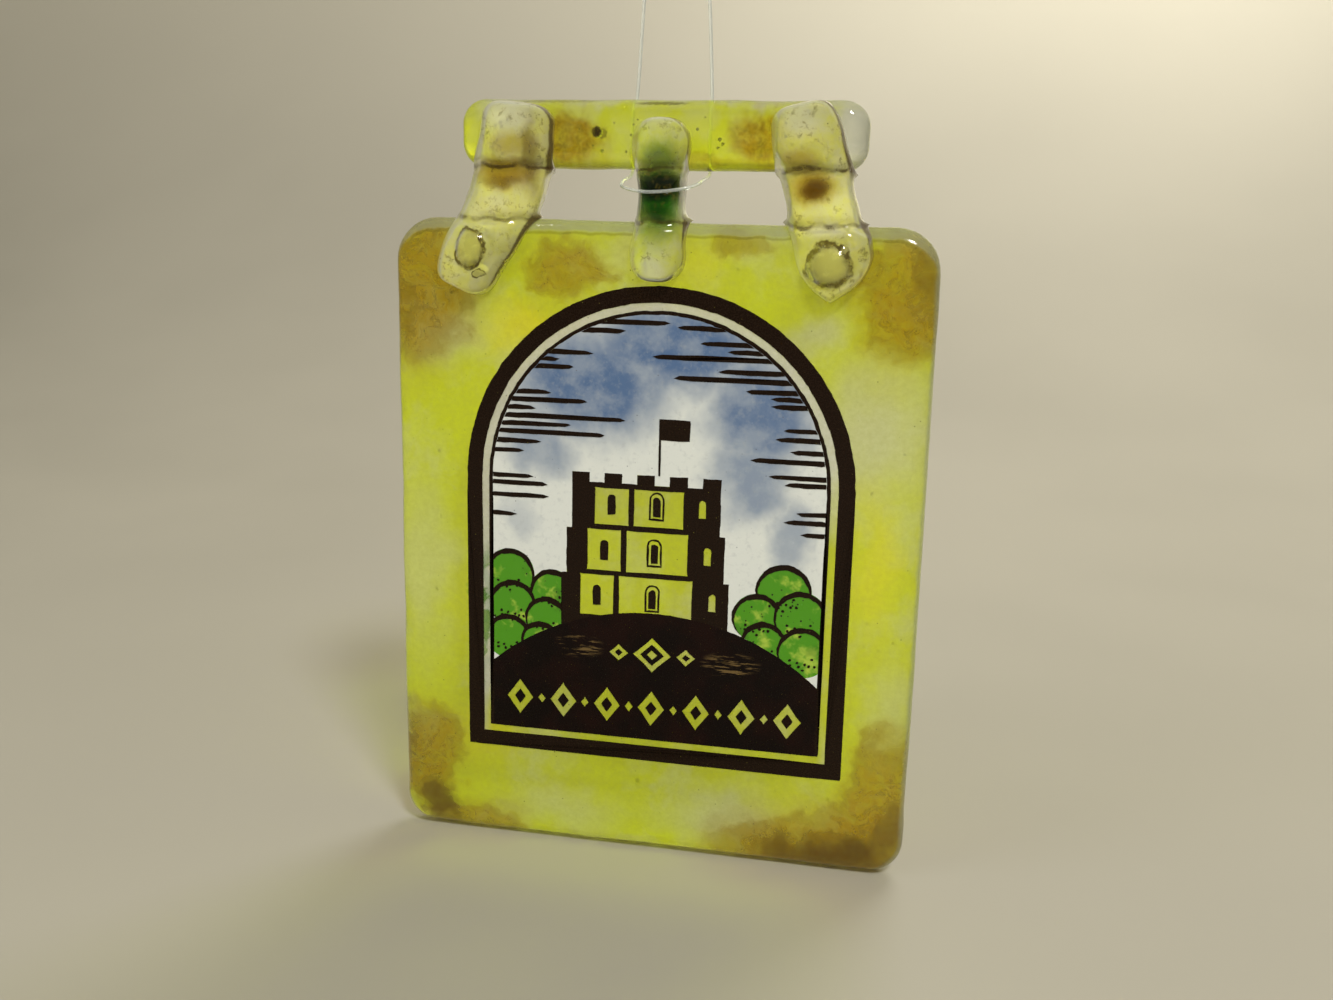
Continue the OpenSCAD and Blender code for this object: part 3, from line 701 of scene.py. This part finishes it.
def bubble_glass():
    """The wall of a trapped bubble, with painted shade: it is coloured darker than the glass round it"""
    if "shaded bubble wall" in bpy.data.materials:
        return bpy.data.materials["shaded bubble wall"]
    made, net, shader, place = new_material("shaded bubble wall")
    patchy = net.fade(net.noise(place, 0.9, 3.0), 0.35, 0.65)
    colour = net.mix(patchy, (0.16, 0.13, 0.03), (0.42, 0.38, 0.14))
    net.put(colour, shader.inputs["Base Color"])
    net.put(net.fade(net.noise(place, 2.0, 2.0), 0.3, 0.7, 0.01, 0.06), shader.inputs["Roughness"])
    shader.inputs["Transmission Weight"].default_value = 0.95
    shader.inputs["IOR"].default_value = 1.5
    let_lamps_through(net, shader, colour)
    return made


def fired_print():
    """Dark brown print with fine grain and pinholes"""
    made, net, shader, place = new_material("fired print")
    grain = net.group(grain_group(), Place=place, Pinholes=0.6)
    stain = colours()
    colour = net.mix(net.times(grain["Grain"], 0.5), stain.ink, [2.2 * c for c in stain.ink])
    colour = net.mix(grain["Holes"], colour, (0.30, 0.26, 0.05))
    rough = net.fade(grain["Grain"], 0.0, 1.0, 0.22, 0.4)
    dress(net, shader, colour, rough, grain["Height"], 0.35, 0.00004, Specular_IOR_Level=0.18)
    return made


def hill_print():
    """Near-black maroon print with faint scratches beside the rosette"""
    made, net, shader, place = new_material("hill print")
    grain = net.group(grain_group(), Place=place, Pinholes=0.5)
    colour = net.mix(net.fade(net.noise(place, 0.2, 3.0, 0.6), 0.35, 0.65),
                     (0.003, 0.0004, 0.0003), (0.009, 0.0012, 0.0007))
    fields = pools(net, place, ((-8, -47.8, 3.4, 1.6, 1.0), (9.6, -48.6, 3.8, 1.8, 1.0)), 0.5)
    streak = net.noise(net.vector("MULTIPLY", place, (0.35, 0.1, 3.2)), 1.0, 3.0, 0.7)
    colour = net.mix(net.times(fields, net.fade(streak, 0.52, 0.62, 0.0, 0.7)),
                     colour, (0.22, 0.14, 0.05))
    colour = net.mix(grain["Holes"], colour, (0.18, 0.12, 0.03))
    rough = net.fade(grain["Grain"], 0.0, 1.0, 0.2, 0.38)
    dress(net, shader, colour, rough, grain["Height"], 0.35, 0.00004, Specular_IOR_Level=0.18)
    return made


def sky_enamel():
    """Cloudy white enamel with blotches of blue"""
    made, net, shader, place = new_material("sky enamel")
    loose = wandering(net, place, 0.22, 5.0)
    blue = pools(net, loose, (
        (-7, -17.5, 13, 9, 1.0), (3, -13.5, 15, 7, 1.0), (12, -20, 9, 9, 0.95),
        (-13, -25, 6, 5, 0.7), (11, -27, 6.5, 7, 0.75), (15.5, -33, 3.5, 6, 0.6),
        (-15, -33, 3, 4, 0.3)), 0.7)
    mottled = net.fade(net.noise(place, 0.3, 4.0, 0.6), 0.3, 0.6, 0.78, 1.0)
    colour = net.mix(net.times(blue, mottled), (0.80, 0.83, 0.78), colours().sky)
    grey = net.fade(net.noise(place, 1.4, 4.0, 0.65), 0.5, 0.75, 0.0, 0.3)
    colour = net.mix(grey, colour, (0.42, 0.45, 0.46))
    melted(net, shader, place, colour, (0.7, (0.10, 0.10, 0.12)), 0.6, 0.8, 0.18, 0.4, 0.0001)
    return made


def leaf_enamel():
    """Green enamel with thin yellow-green spots"""
    made, net, shader, place = new_material("leaf enamel")
    loose = wandering(net, place, 0.5, 1.5)
    stain = colours()
    light = net.fade(net.noise(loose, 0.36, 3.0, 0.6), 0.55, 0.72)
    colour = net.mix(light, stain.leaf, (0.42, 0.60, 0.06))
    dark = net.fade(net.noise(loose, 0.3, 2.0, 0.5), 0.55, 0.7, 0.0, 0.5)
    colour = net.mix(dark, colour, [0.55 * c for c in stain.leaf])
    dots = net.fade(net.cells(place, 1.5), 0.13, 0.20, 1.0, 0.0)
    strewn = net.fade(net.noise(place, 0.4, 2.0, 0.5), 0.46, 0.60)
    colour = net.mix(net.times(dots, strewn), colour, stain.ink)
    melted(net, shader, place, colour, None, 0.6, 0.8, 0.16, 0.4, 0.0001)
    return made


def clear_nylon():
    """Clear monofilament with faint draw lines"""
    made, net, shader, place = new_material("clear nylon")
    lines = net.noise(net.vector("MULTIPLY", place, (6.0, 6.0, 0.3)), 1.0, 2.0, 0.5)
    colour = net.mix(lines, (0.80, 0.84, 0.82), (0.95, 0.97, 0.95))
    rough = net.fade(lines, 0.3, 0.7, 0.05, 0.16)
    dress(net, shader, colour, rough, lines, 0.2, 0.00002, Transmission_Weight=0.8, IOR=1.53)
    let_lamps_through(net, shader, colour)
    return made


def pale_cloth(name, colour):
    made, net, shader, place = new_material(name)
    soft = net.fade(net.noise(place, 0.006, 3.0, 0.5), 0.3, 0.7)
    laid = net.mix(soft, colour, [0.9 * c for c in colour])
    # Painted light: the sweep is painted up to 1.6 times brighter towards its top.
    raised = net.fade(net.split(place)["Z"], -60.0, 220.0)
    net.put(net.mix(raised, laid, [1.6 * c for c in colour]), shader.inputs["Base Color"])
    shader.inputs["Roughness"].default_value = 0.9
    shader.inputs["Specular IOR Level"].default_value = 0.2
    return made


# ---------- Operators ----------


class GLASSTILE_OT_stage(bpy.types.Operator):
    """Lay the pale floor with its sweep, the lights and the camera"""

    bl_idname = "glass_tile.stage"
    bl_label = "Stage"

    def execute(self, context):
        bm = bmesh.new()
        bmesh.ops.create_grid(bm, x_segments=1, y_segments=1, size=1.5)
        bmesh.ops.translate(bm, vec=(0, -1.0, FLOOR_Z), verts=bm.verts)
        far = max(v.co.y for v in bm.verts)
        edge = [e for e in bm.edges if on_plane(e, far)]
        raised = bmesh.ops.extrude_edge_only(bm, edges=edge)
        top = [g for g in raised["geom"] if isinstance(g, bmesh.types.BMVert)]
        bmesh.ops.translate(bm, vec=(0, 0.25, 1.3), verts=top)
        bend = [e for e in bm.edges if on_plane(e, far) and e.verts[0].co.z < FLOOR_Z + 1e-4]
        bevelled(bm, bend, 0.35, 16)
        bmesh.ops.recalc_face_normals(bm, faces=bm.faces)
        for face in bm.faces:
            if face.normal.z < 0:
                face.normal_flip()
        finished(bm, "pale_sweep", pale_cloth("pale cloth", (0.43, 0.405, 0.325)), None)
        self.lamp("key lamp", (0.24, -0.38, 0.42), 0.13, 3.2, (1.0, 0.98, 0.94))
        self.lamp("fill lamp", (-0.55, -0.35, 0.15), 0.40, 1.0, (0.97, 0.97, 1.0), False)
        self.lamp("back lamp", (0.15, 0.45, 0.35), 0.35, 2.4, (1.0, 0.97, 0.92), False)
        world = bpy.data.worlds.new("soft room")
        world.use_nodes = True
        net = Net(world.node_tree)
        dim = world.node_tree.nodes["Background"]
        dim.inputs["Color"].default_value = (0.98, 0.92, 0.77, 1)
        dim.inputs["Strength"].default_value = 0.24
        wall = net.node("ShaderNodeBackground")
        wall.inputs["Color"].default_value = (0.60, 0.56, 0.48, 1)
        wall.inputs["Strength"].default_value = 0.92
        room = net.node("ShaderNodeMixShader")
        net.put(net.node("ShaderNodeLightPath").outputs["Is Camera Ray"], room.inputs[0])
        net.put(dim.outputs[0], room.inputs[1])
        net.put(wall.outputs[0], room.inputs[2])
        net.put(room.outputs[0], world.node_tree.nodes["World Output"].inputs[0])
        context.scene.world = world
        context.scene.view_settings.view_transform = "Standard"
        self.camera(context)
        return {"FINISHED"}

    def lamp(self, name, place, size, watts, colour, shines=True):
        data = bpy.data.lights.new(name, "AREA")
        data.shape = "DISK"
        data.size = size
        data.energy = watts
        data.color = colour
        lamp = bpy.data.objects.new(name, data)
        lamp.location = place
        lamp.visible_glossy = lamp.visible_transmission = shines
        aim = Vector((0, 0, FLOOR_Z + 0.05)) - Vector(place)
        lamp.rotation_mode = "QUATERNION"
        lamp.rotation_quaternion = aim.to_track_quat("-Z", "Y")
        bpy.context.scene.collection.objects.link(lamp)

    def camera(self, context):
        data = bpy.data.cameras.new("camera")
        data.sensor_width = 36
        data.lens = CAMERA_LENS
        data.clip_start = 0.005
        data.clip_end = 20
        camera = bpy.data.objects.new("camera", data)
        right = Vector(CAMERA_RIGHT).normalized()
        forward = Vector(CAMERA_AHEAD)
        forward = (forward - right * forward.dot(right)).normalized()
        up = right.cross(forward)
        turn = Matrix((right, up, -forward)).transposed().to_4x4()
        camera.matrix_world = Matrix.Translation(Vector(CAMERA_PLACE) * MM) @ turn
        context.scene.collection.objects.link(camera)
        context.scene.camera = camera


class GLASSTILE_OT_thread(bpy.types.Operator):
    """Loop the clear thread round the middle strap and tie its knot"""

    bl_idname = "glass_tile.thread"
    bl_label = "Thread and knot"

    def execute(self, context):
        nylon = clear_nylon()
        knot = self.knot(nylon)
        curve = round_curve("thread_loop")
        soft_line(curve, [Vector(place) * MM for place in THREAD_ROUTE], 4)
        curve.materials.append(nylon)
        thread = bpy.data.objects.new("thread_loop", curve)
        context.scene.collection.objects.link(thread)
        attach(thread, "loop")
        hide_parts("hanging_thread")
        return {"FINISHED"}

    def knot(self, nylon):
        """Three wraps round both strands, and two cut tails"""
        wrap = 0.00052
        steps, turns, foot, pitch = 54, 3, 0.00018, 0.00034
        wraps = []
        for i in range(steps + 1):
            turned = turns * i / steps
            angle = 2 * math.pi * turned
            wraps.append(Vector((wrap * math.cos(angle), wrap * math.sin(angle), foot + pitch * turned)))
        head = foot + pitch * turns
        tail = (KNOT_HI.z - head) * 0.97
        lean = math.radians(24)
        lines = [wraps]
        for side in (-1, 1):
            inner = Vector((side * 0.00018, 0, 0.0001))
            neck = Vector((side * 0.0002, 0, head * 0.9))
            tip = neck + Vector((side * math.tan(lean) * tail, 0, tail))
            bow = Vector((side * 0.0001, 0.00012, 0))
            bend = [neck.lerp(tip, share) + bow for share in (0.3, 0.7)]
            lines.append([inner, (inner + neck) / 2, neck, *bend, tip])
        curve = round_curve("knot lines")
        for line in lines:
            soft_line(curve, line, 3)
        shape = bpy.data.objects.new("knot lines", curve)
        context = bpy.context
        context.scene.collection.objects.link(shape)
        context.view_layer.update()
        mesh = bpy.data.meshes.new_from_object(shape.evaluated_get(context.evaluated_depsgraph_get()))
        bpy.data.objects.remove(shape)
        bm = bmesh.new()
        bm.from_mesh(mesh)
        bmesh.ops.remove_doubles(bm, verts=bm.verts, dist=1e-7)
        bmesh.ops.recalc_face_normals(bm, faces=bm.faces)
        return finished(bm, "thread_knot_tied", nylon, "knot", ("thread_knot",))


class GLASSTILE_OT_pane(bpy.types.Operator):
    """Melt the pane, with its small trapped bubbles"""

    bl_idname = "glass_tile.pane"
    bl_label = "Pane"

    def execute(self, context):
        size = sizes()
        lo, hi = PANE_LO.copy(), PANE_HI.copy()
        lo.y += 0.015 * MM
        bm = rounded_slab(lo, hi, size.corner_top, size.corner_bottom, size.edge_round, 26, 30)
        wander_edges(bm, lo, hi, size.wobble, 3.2 * MM, 3.0, size.corner_top)
        dice = random.Random(7)
        for i in range(size.bubbles):
            x = dice.choice((-1, 1)) * dice.uniform(22.4, 27.5)
            z = dice.uniform(-68, -4)
            if i % 3 == 0:
                x = dice.uniform(-26, 26)
                z = dice.choice((dice.uniform(-5, -2.6), dice.uniform(-69, -62.5)))
            r = dice.uniform(0.10, 0.24) * (1.7 if i % 11 == 0 else 1)
            centre = over_top(x, dice.uniform(-1.2, 0.9), z)
            radii = Vector((r, r * 0.8, r * dice.uniform(1, 1.5))) * MM
            add_void(bm, centre, radii, 1, dice.uniform(-1, 1))
        finished(bm, "pane_melted", stained_glass(), "glass", ("pane",),
                 bubble=bubble_glass())
        return {"FINISHED"}


class GLASSTILE_OT_bar(bpy.types.Operator):
    """Melt the bar over the pane"""

    bl_idname = "glass_tile.bar"
    bl_label = "Bar"

    def execute(self, context):
        size = sizes()
        lo, hi = BAR_LO.copy(), BAR_HI.copy()
        lo.y += 0.015 * MM
        bm = rounded_slab(lo, hi, size.bar_corner, size.bar_corner, size.edge_round, 40, 5)
        wander_edges(bm, lo, hi, size.wobble * 0.9, 3.0 * MM, 21.0, size.bar_corner)
        dice = random.Random(12)
        for _ in range(26):
            r = dice.uniform(0.10, 0.26)
            centre = over_top(dice.uniform(-19.5, 19.5), dice.uniform(-1, 0.8), dice.uniform(7, 10.5))
            add_void(bm, centre, Vector((r, r, r)) * MM, 1)
        add_void(bm, over_top(-6.6, -0.9, 8.9), Vector((0.55, 0.5, 0.6)) * MM, 3)
        finished(bm, "bar_melted", bar_glass(), "glass", ("top_bar",),
                 bubble=bubble_glass())
        return {"FINISHED"}


class StrapShape:
    """Bends a straight block along a strap's line and lays it over bar, gap and pane"""

    def __init__(self, line, domes, webs, corner, slant=0.0, point_at=0.0, point=0.0):
        self.line = [(Vector((x, z)), w) for x, z, w in line]
        self.domes = domes
        self.webs = webs
        self.corner = corner
        self.slant = slant
        self.point_at = point_at
        self.point = point
        self.at = [0.0]
        for (a, _), (b, _) in zip(self.line, self.line[1:]):
            self.at.append(self.at[-1] + (b - a).length)
        self.length = self.at[-1]
        size = sizes()
        self.face = PANE_LO.y / MM
        self.proud = size.strap_proud / MM
        self.dip = size.strap_dip / MM
        self.gap = (BAR_LO.z - PANE_HI.z) / MM
        self.round = (PANE_HI.y - PANE_LO.y) / 2 / MM

    def on_line(self, s):
        """Point, direction and half width at a distance s from the strap's top"""
        s = min(max(s, 0.0), self.length - 1e-6)
        i = max(k for k in range(len(self.at) - 1) if self.at[k] <= s)
        t = (s - self.at[i]) / (self.at[i + 1] - self.at[i])
        p = [self.line[min(max(i + k, 0), len(self.line) - 1)] for k in (-1, 0, 1, 2)]
        point = self.blend([q[0] for q in p], t)
        ahead = self.blend([q[0] for q in p], min(t + 0.05, 1.0))
        behind = self.blend([q[0] for q in p], max(t - 0.05, 0.0))
        width = self.blend([q[1] for q in p], t)
        return point, (ahead - behind).normalized(), width

    @staticmethod
    def blend(p, t):
        return 0.5 * (2 * p[1] + (p[2] - p[0]) * t + (2 * p[0] - 5 * p[1] + 4 * p[2] - p[3]) * t * t
                      + (3 * p[1] - p[0] - 3 * p[2] + p[3]) * t ** 3)

    def front(self, x, z, share):
        """Depth of the strap's front: crowned, slumped over the gap, domed over bubbles"""
        u = (z - self.gap / 2) / (self.gap / 2 + 3.5)
        slump = (1 + math.cos(math.pi * u)) / 2 if abs(u) < 1 else 0.0
        y = self.face - self.proud + self.dip * slump + 1.25 * abs(share) ** 2.4
        ripple = noise.noise(Vector((x * 0.45, 4.0, z * 0.45)))
        y += 0.22 * (ripple + 0.5)
        for crease in STRAP_CREASES:
            wander = 0.35 * noise.noise(Vector((x * 0.5, crease, 2.0)))
            y += 0.42 * math.exp(-((z - crease - wander) / 0.42) ** 2)
        for cx, cz, wide, high, proud in self.domes:
            r = math.hypot((x - cx) / wide, (z - cz) / high)
            y -= proud * max(0.0, 1 - r ** 3)
            y += 0.34 * math.exp(-((r - 1.06) / 0.16) ** 2)
        return min(max(y, self.face - self.proud - 0.5), self.back(z) - 0.9)

    def back(self, z):
        """Depth of the strap's back: flat on the glass, sagging into the gap"""
        rise = self.round + 0.02
        for centre in (-self.round, self.gap + self.round):
            inside = z > centre if centre < 0 else z < centre
            if inside and abs(z - centre) < self.round:
                return min(-0.6, -math.sqrt(max(rise * rise - (z - centre) ** 2, 0.0)))
        return -0.6 if 0 <= z <= self.gap else self.face - 0.02

    def web(self, side, z):
        """How far melted glass spreads beside the strap where it meets the bar and the pane"""
        spread = 0.0
        for reach, depth in ((self.webs[side][0], self.gap - z), (self.webs[side][1], z)):
            if reach and depth < reach:
                if depth < 0:
                    spread = max(spread, reach * 0.55 * math.exp(depth / 0.9))
                else:
                    spread = max(spread, reach - math.sqrt(reach ** 2 - (reach - depth) ** 2))
        return spread

    def build(self):
        half = 3.0
        corner = self.corner
        lo = Vector((-half, 0, 0))
        hi = Vector((half, 1, self.length))
        bm = block(lo, hi)
        bevelled(bm, [e for e in bm.edges if along_y(e)], corner, 7)
        bevelled(bm, [e for e in bm.edges if on_plane(e, hi.y)], 0.9, 7)
        cut_across(bm, 0, between(-half + 0.9, half - 0.9, 10))
        cut_across(bm, 2, between(0.9, self.length - 0.9, 48))
        rim = bm.verts.layers.float.new("rim")
        lee = bm.verts.layers.float.new("lee")
        for v in bm.verts:
            share = v.co.x / half
            depth = inside_by(v.co.x, v.co.z, (lo.x, lo.z), (hi.x, hi.z), corner)
            v[rim] = max(1 - v.co.y / 0.5, 1 - depth / 0.5, 0.0)
            v[lee] = share
            from_top = self.length - v.co.z
            near_end = max(0.0, (from_top - self.length * 0.62) / (self.length * 0.38))
            from_top += near_end * (self.slant * share - self.point * abs(share - self.point_at))
            from_top = min(from_top, self.length)
            point, ahead, width = self.on_line(from_top)
            side = Vector((-ahead.y, ahead.x))
            over = from_top - min(max(from_top, 0.0), self.length)
            place = point + side * share * width + ahead * over
            back = self.back(place.y)
            front = self.front(place.x, place.y, share)
            edge = noise.noise(Vector((place.x * 0.4, 8.0, place.y * 0.4)))
            place = place - side * share * 0.25 * (edge + 0.4)
            behind = max(0.0, 1 - v.co.y * 1.15)
            spread = self.web(1 if share > 0 else 0, place.y) * behind
            place.x += spread * math.copysign(min(1.0, abs(share) ** 2 * 1.1), share)
            v.co = over_top(place.x, back + (front - back) * v.co.y, place.y)
        return bm


def scatter_voids(bm, shape, seed, count, spans):
    """Small bubbles strewn along a strap, between the given shares of its length"""
    dice = random.Random(seed)
    for _ in range(count):
        low, high = dice.choice(spans)
        s = dice.uniform(low, high) * shape.length
        point, ahead, width = shape.on_line(s)
        side = Vector((-ahead.y, ahead.x))
        share = dice.uniform(-0.62, 0.62)
        place = point + side * share * width
        front = shape.front(place.x, place.y, share)
        r = dice.uniform(0.11, 0.32)
        depth = dice.uniform(front + 0.5, max(front + 0.6, -2.6))
        add_void(bm, over_top(place.x, depth, place.y), Vector((r, r * 0.8, r)) * MM, 1)


class GLASSTILE_OT_straps(bpy.types.Operator):
    """Melt the three straps over bar and pane"""

    bl_idname = "glass_tile.straps"
    bl_label = "Straps"

    def execute(self, context):
        stain = colours()
        self.melt("left", "strap_glass",
                  StrapShape(LEFT_LINE, ((-19.9, -3.4, 1.9, 2.2, 0.5),), ((0.4, 0.6), (0.9, 0.9)), 2.0),
                  (((-19.8, -3.45, -3.3), (1.35, 0.8, 1.75), 0.5),
                   ((-19.0, -3.2, -5.6), (0.9, 0.5, 0.5), 0.2)),
                  (3, 60, ((0.06, 0.3), (0.62, 0.92))),
                  (0.98, 0.99, 0.30),
                  (stain.amber, ((-16.3, 4.6, 5, 2.4, 0.9), (-15.5, 7.5, 4, 2, 0.45))),
                  (stain.brown, ((-13.4, 6, 1.2, 6, 0.6), (-16.6, 3.6, 3, 0.8, 0.55))),
                  ((-15.9, 10.4, 4, 2.6, 0.8),),
                  ((-19.9, -3.4, 1.9, 2.3), (-18.9, -6.1, 0.9, 0.6)))
        self.melt("middle", "green_glass",
                  StrapShape(MIDDLE_LINE, (), ((0.2, 0.6), (0.3, 0.9)), 2.75),
                  (),
                  (5, 40, ((0.08, 0.34), (0.6, 0.9))),
                  (0.92, 0.98, 0.18),
                  (stain.green, ((0.4, 2.2, 4.6, 6, 1.0), (0.6, 6, 3.4, 3, 0.7))),
                  ((0.0012, 0.010, 0.001), ((0.4, 3.3, 4.6, 2.6, 1.0), (0, 0.9, 2.2, 1.8, 0.6))),
                  ((0.1, -5.4, 2.4, 2.2, 0.8), (0.3, 10, 2.2, 1.4, 0.5)))
        self.melt("right", "strap_glass",
                  StrapShape(RIGHT_LINE, ((18.5, -4.2, 2.4, 2.3, 0.5),), ((0.9, 0.8), (0.6, 0.7)), 2.1,
                             0.4, -0.3, 2.4),
                  (((18.5, -3.45, -4.1), (1.95, 0.85, 1.85), 0.3),),
                  (8, 60, ((0.06, 0.34), (0.62, 0.9))),
                  (0.98, 0.99, 0.24),
                  (stain.amber, ((16.3, 3.6, 3.6, 2.6, 0.85), (14.8, 6.2, 3, 1.5, 0.5))),
                  (stain.brown, ((16.6, 3.3, 2.2, 1.7, 0.95), (15.2, 5.2, 2.6, 0.6, 0.6))),
                  ((15, 10.2, 3.4, 2.6, 0.8), (17.9, -0.9, 3, 1.1, 0.6)),
                  ((18.5, -4.2, 2.6, 2.5),))
        return {"FINISHED"}

    def melt(self, side, slot, shape, big, strewn, *looks):
        """One strap: its shape, big bubbles, strewn bubbles and what strap_glass needs"""
        bm = shape.build()
        for middle, radii, tilt in big:
            add_void(bm, over_top(*middle), Vector(radii) * MM, 4, tilt, 0)
        scatter_voids(bm, shape, *strewn)
        glass = strap_glass(side + " strap glass", *looks)
        finished(bm, f"strap_{side}_melted", glass, "glass", (f"strap_{side}",),
                 bubble=bubble_glass())


class GLASSTILE_OT_picture(bpy.types.Operator):
    """Give the fired picture its print and enamels"""

    bl_idname = "glass_tile.picture"
    bl_label = "Fired picture"

    def execute(self, context):
        ink, hill = fired_print(), hill_print()
        for name in PRINT_NODES:
            material = hill if name == "print_hill" else ink
            amount = 0.16 if name in ("print_strokes", "print_bushes") else 0.12
            ragged_copy(name, name + "_fired", material, amount)
        for name, material in (("sky_enamel", sky_enamel()), ("foliage_enamel", leaf_enamel())):
            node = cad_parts[name]
            if not node.material_slots:
                node.data.materials.append(material)
            for slot in node.material_slots:
                slot.material = material
        return {"FINISHED"}


# ---------- Panel and registration ----------


class GLASSTILE_PT_panel(bpy.types.Panel):
    """The tile's sizes, colours and build steps"""

    bl_label = "Glass Tile"
    bl_idname = "GLASSTILE_PT_panel"
    bl_space_type = "VIEW_3D"
    bl_region_type = "UI"
    bl_category = "Glass Tile"

    def draw(self, context):
        layout = self.layout
        for group in (context.scene.glass_tile_sizes, context.scene.glass_tile_colours):
            box = layout.box()
            for name in group.__annotations__:
                box.prop(group, name)
        for operator in STEPS:
            layout.operator(operator.bl_idname)


STEPS = (
    GLASSTILE_OT_stage,
    GLASSTILE_OT_thread,
    GLASSTILE_OT_pane,
    GLASSTILE_OT_bar,
    GLASSTILE_OT_straps,
    GLASSTILE_OT_picture,
)
CLASSES = (GlassTileSizes, GlassTileColours) + STEPS + (GLASSTILE_PT_panel,)


def register():
    for item in CLASSES:
        bpy.utils.register_class(item)
    bpy.types.Scene.glass_tile_sizes = PointerProperty(type=GlassTileSizes)
    bpy.types.Scene.glass_tile_colours = PointerProperty(type=GlassTileColours)


def unregister():
    del bpy.types.Scene.glass_tile_colours
    del bpy.types.Scene.glass_tile_sizes
    for item in reversed(CLASSES):
        bpy.utils.unregister_class(item)


def main():
    register()
    bpy.ops.glass_tile.stage()
    bpy.ops.glass_tile.thread()
    bpy.ops.glass_tile.pane()
    bpy.ops.glass_tile.bar()
    bpy.ops.glass_tile.straps()
    bpy.ops.glass_tile.picture()
    bpy.context.view_layer.update()


if __name__ == "__main__":
    main()
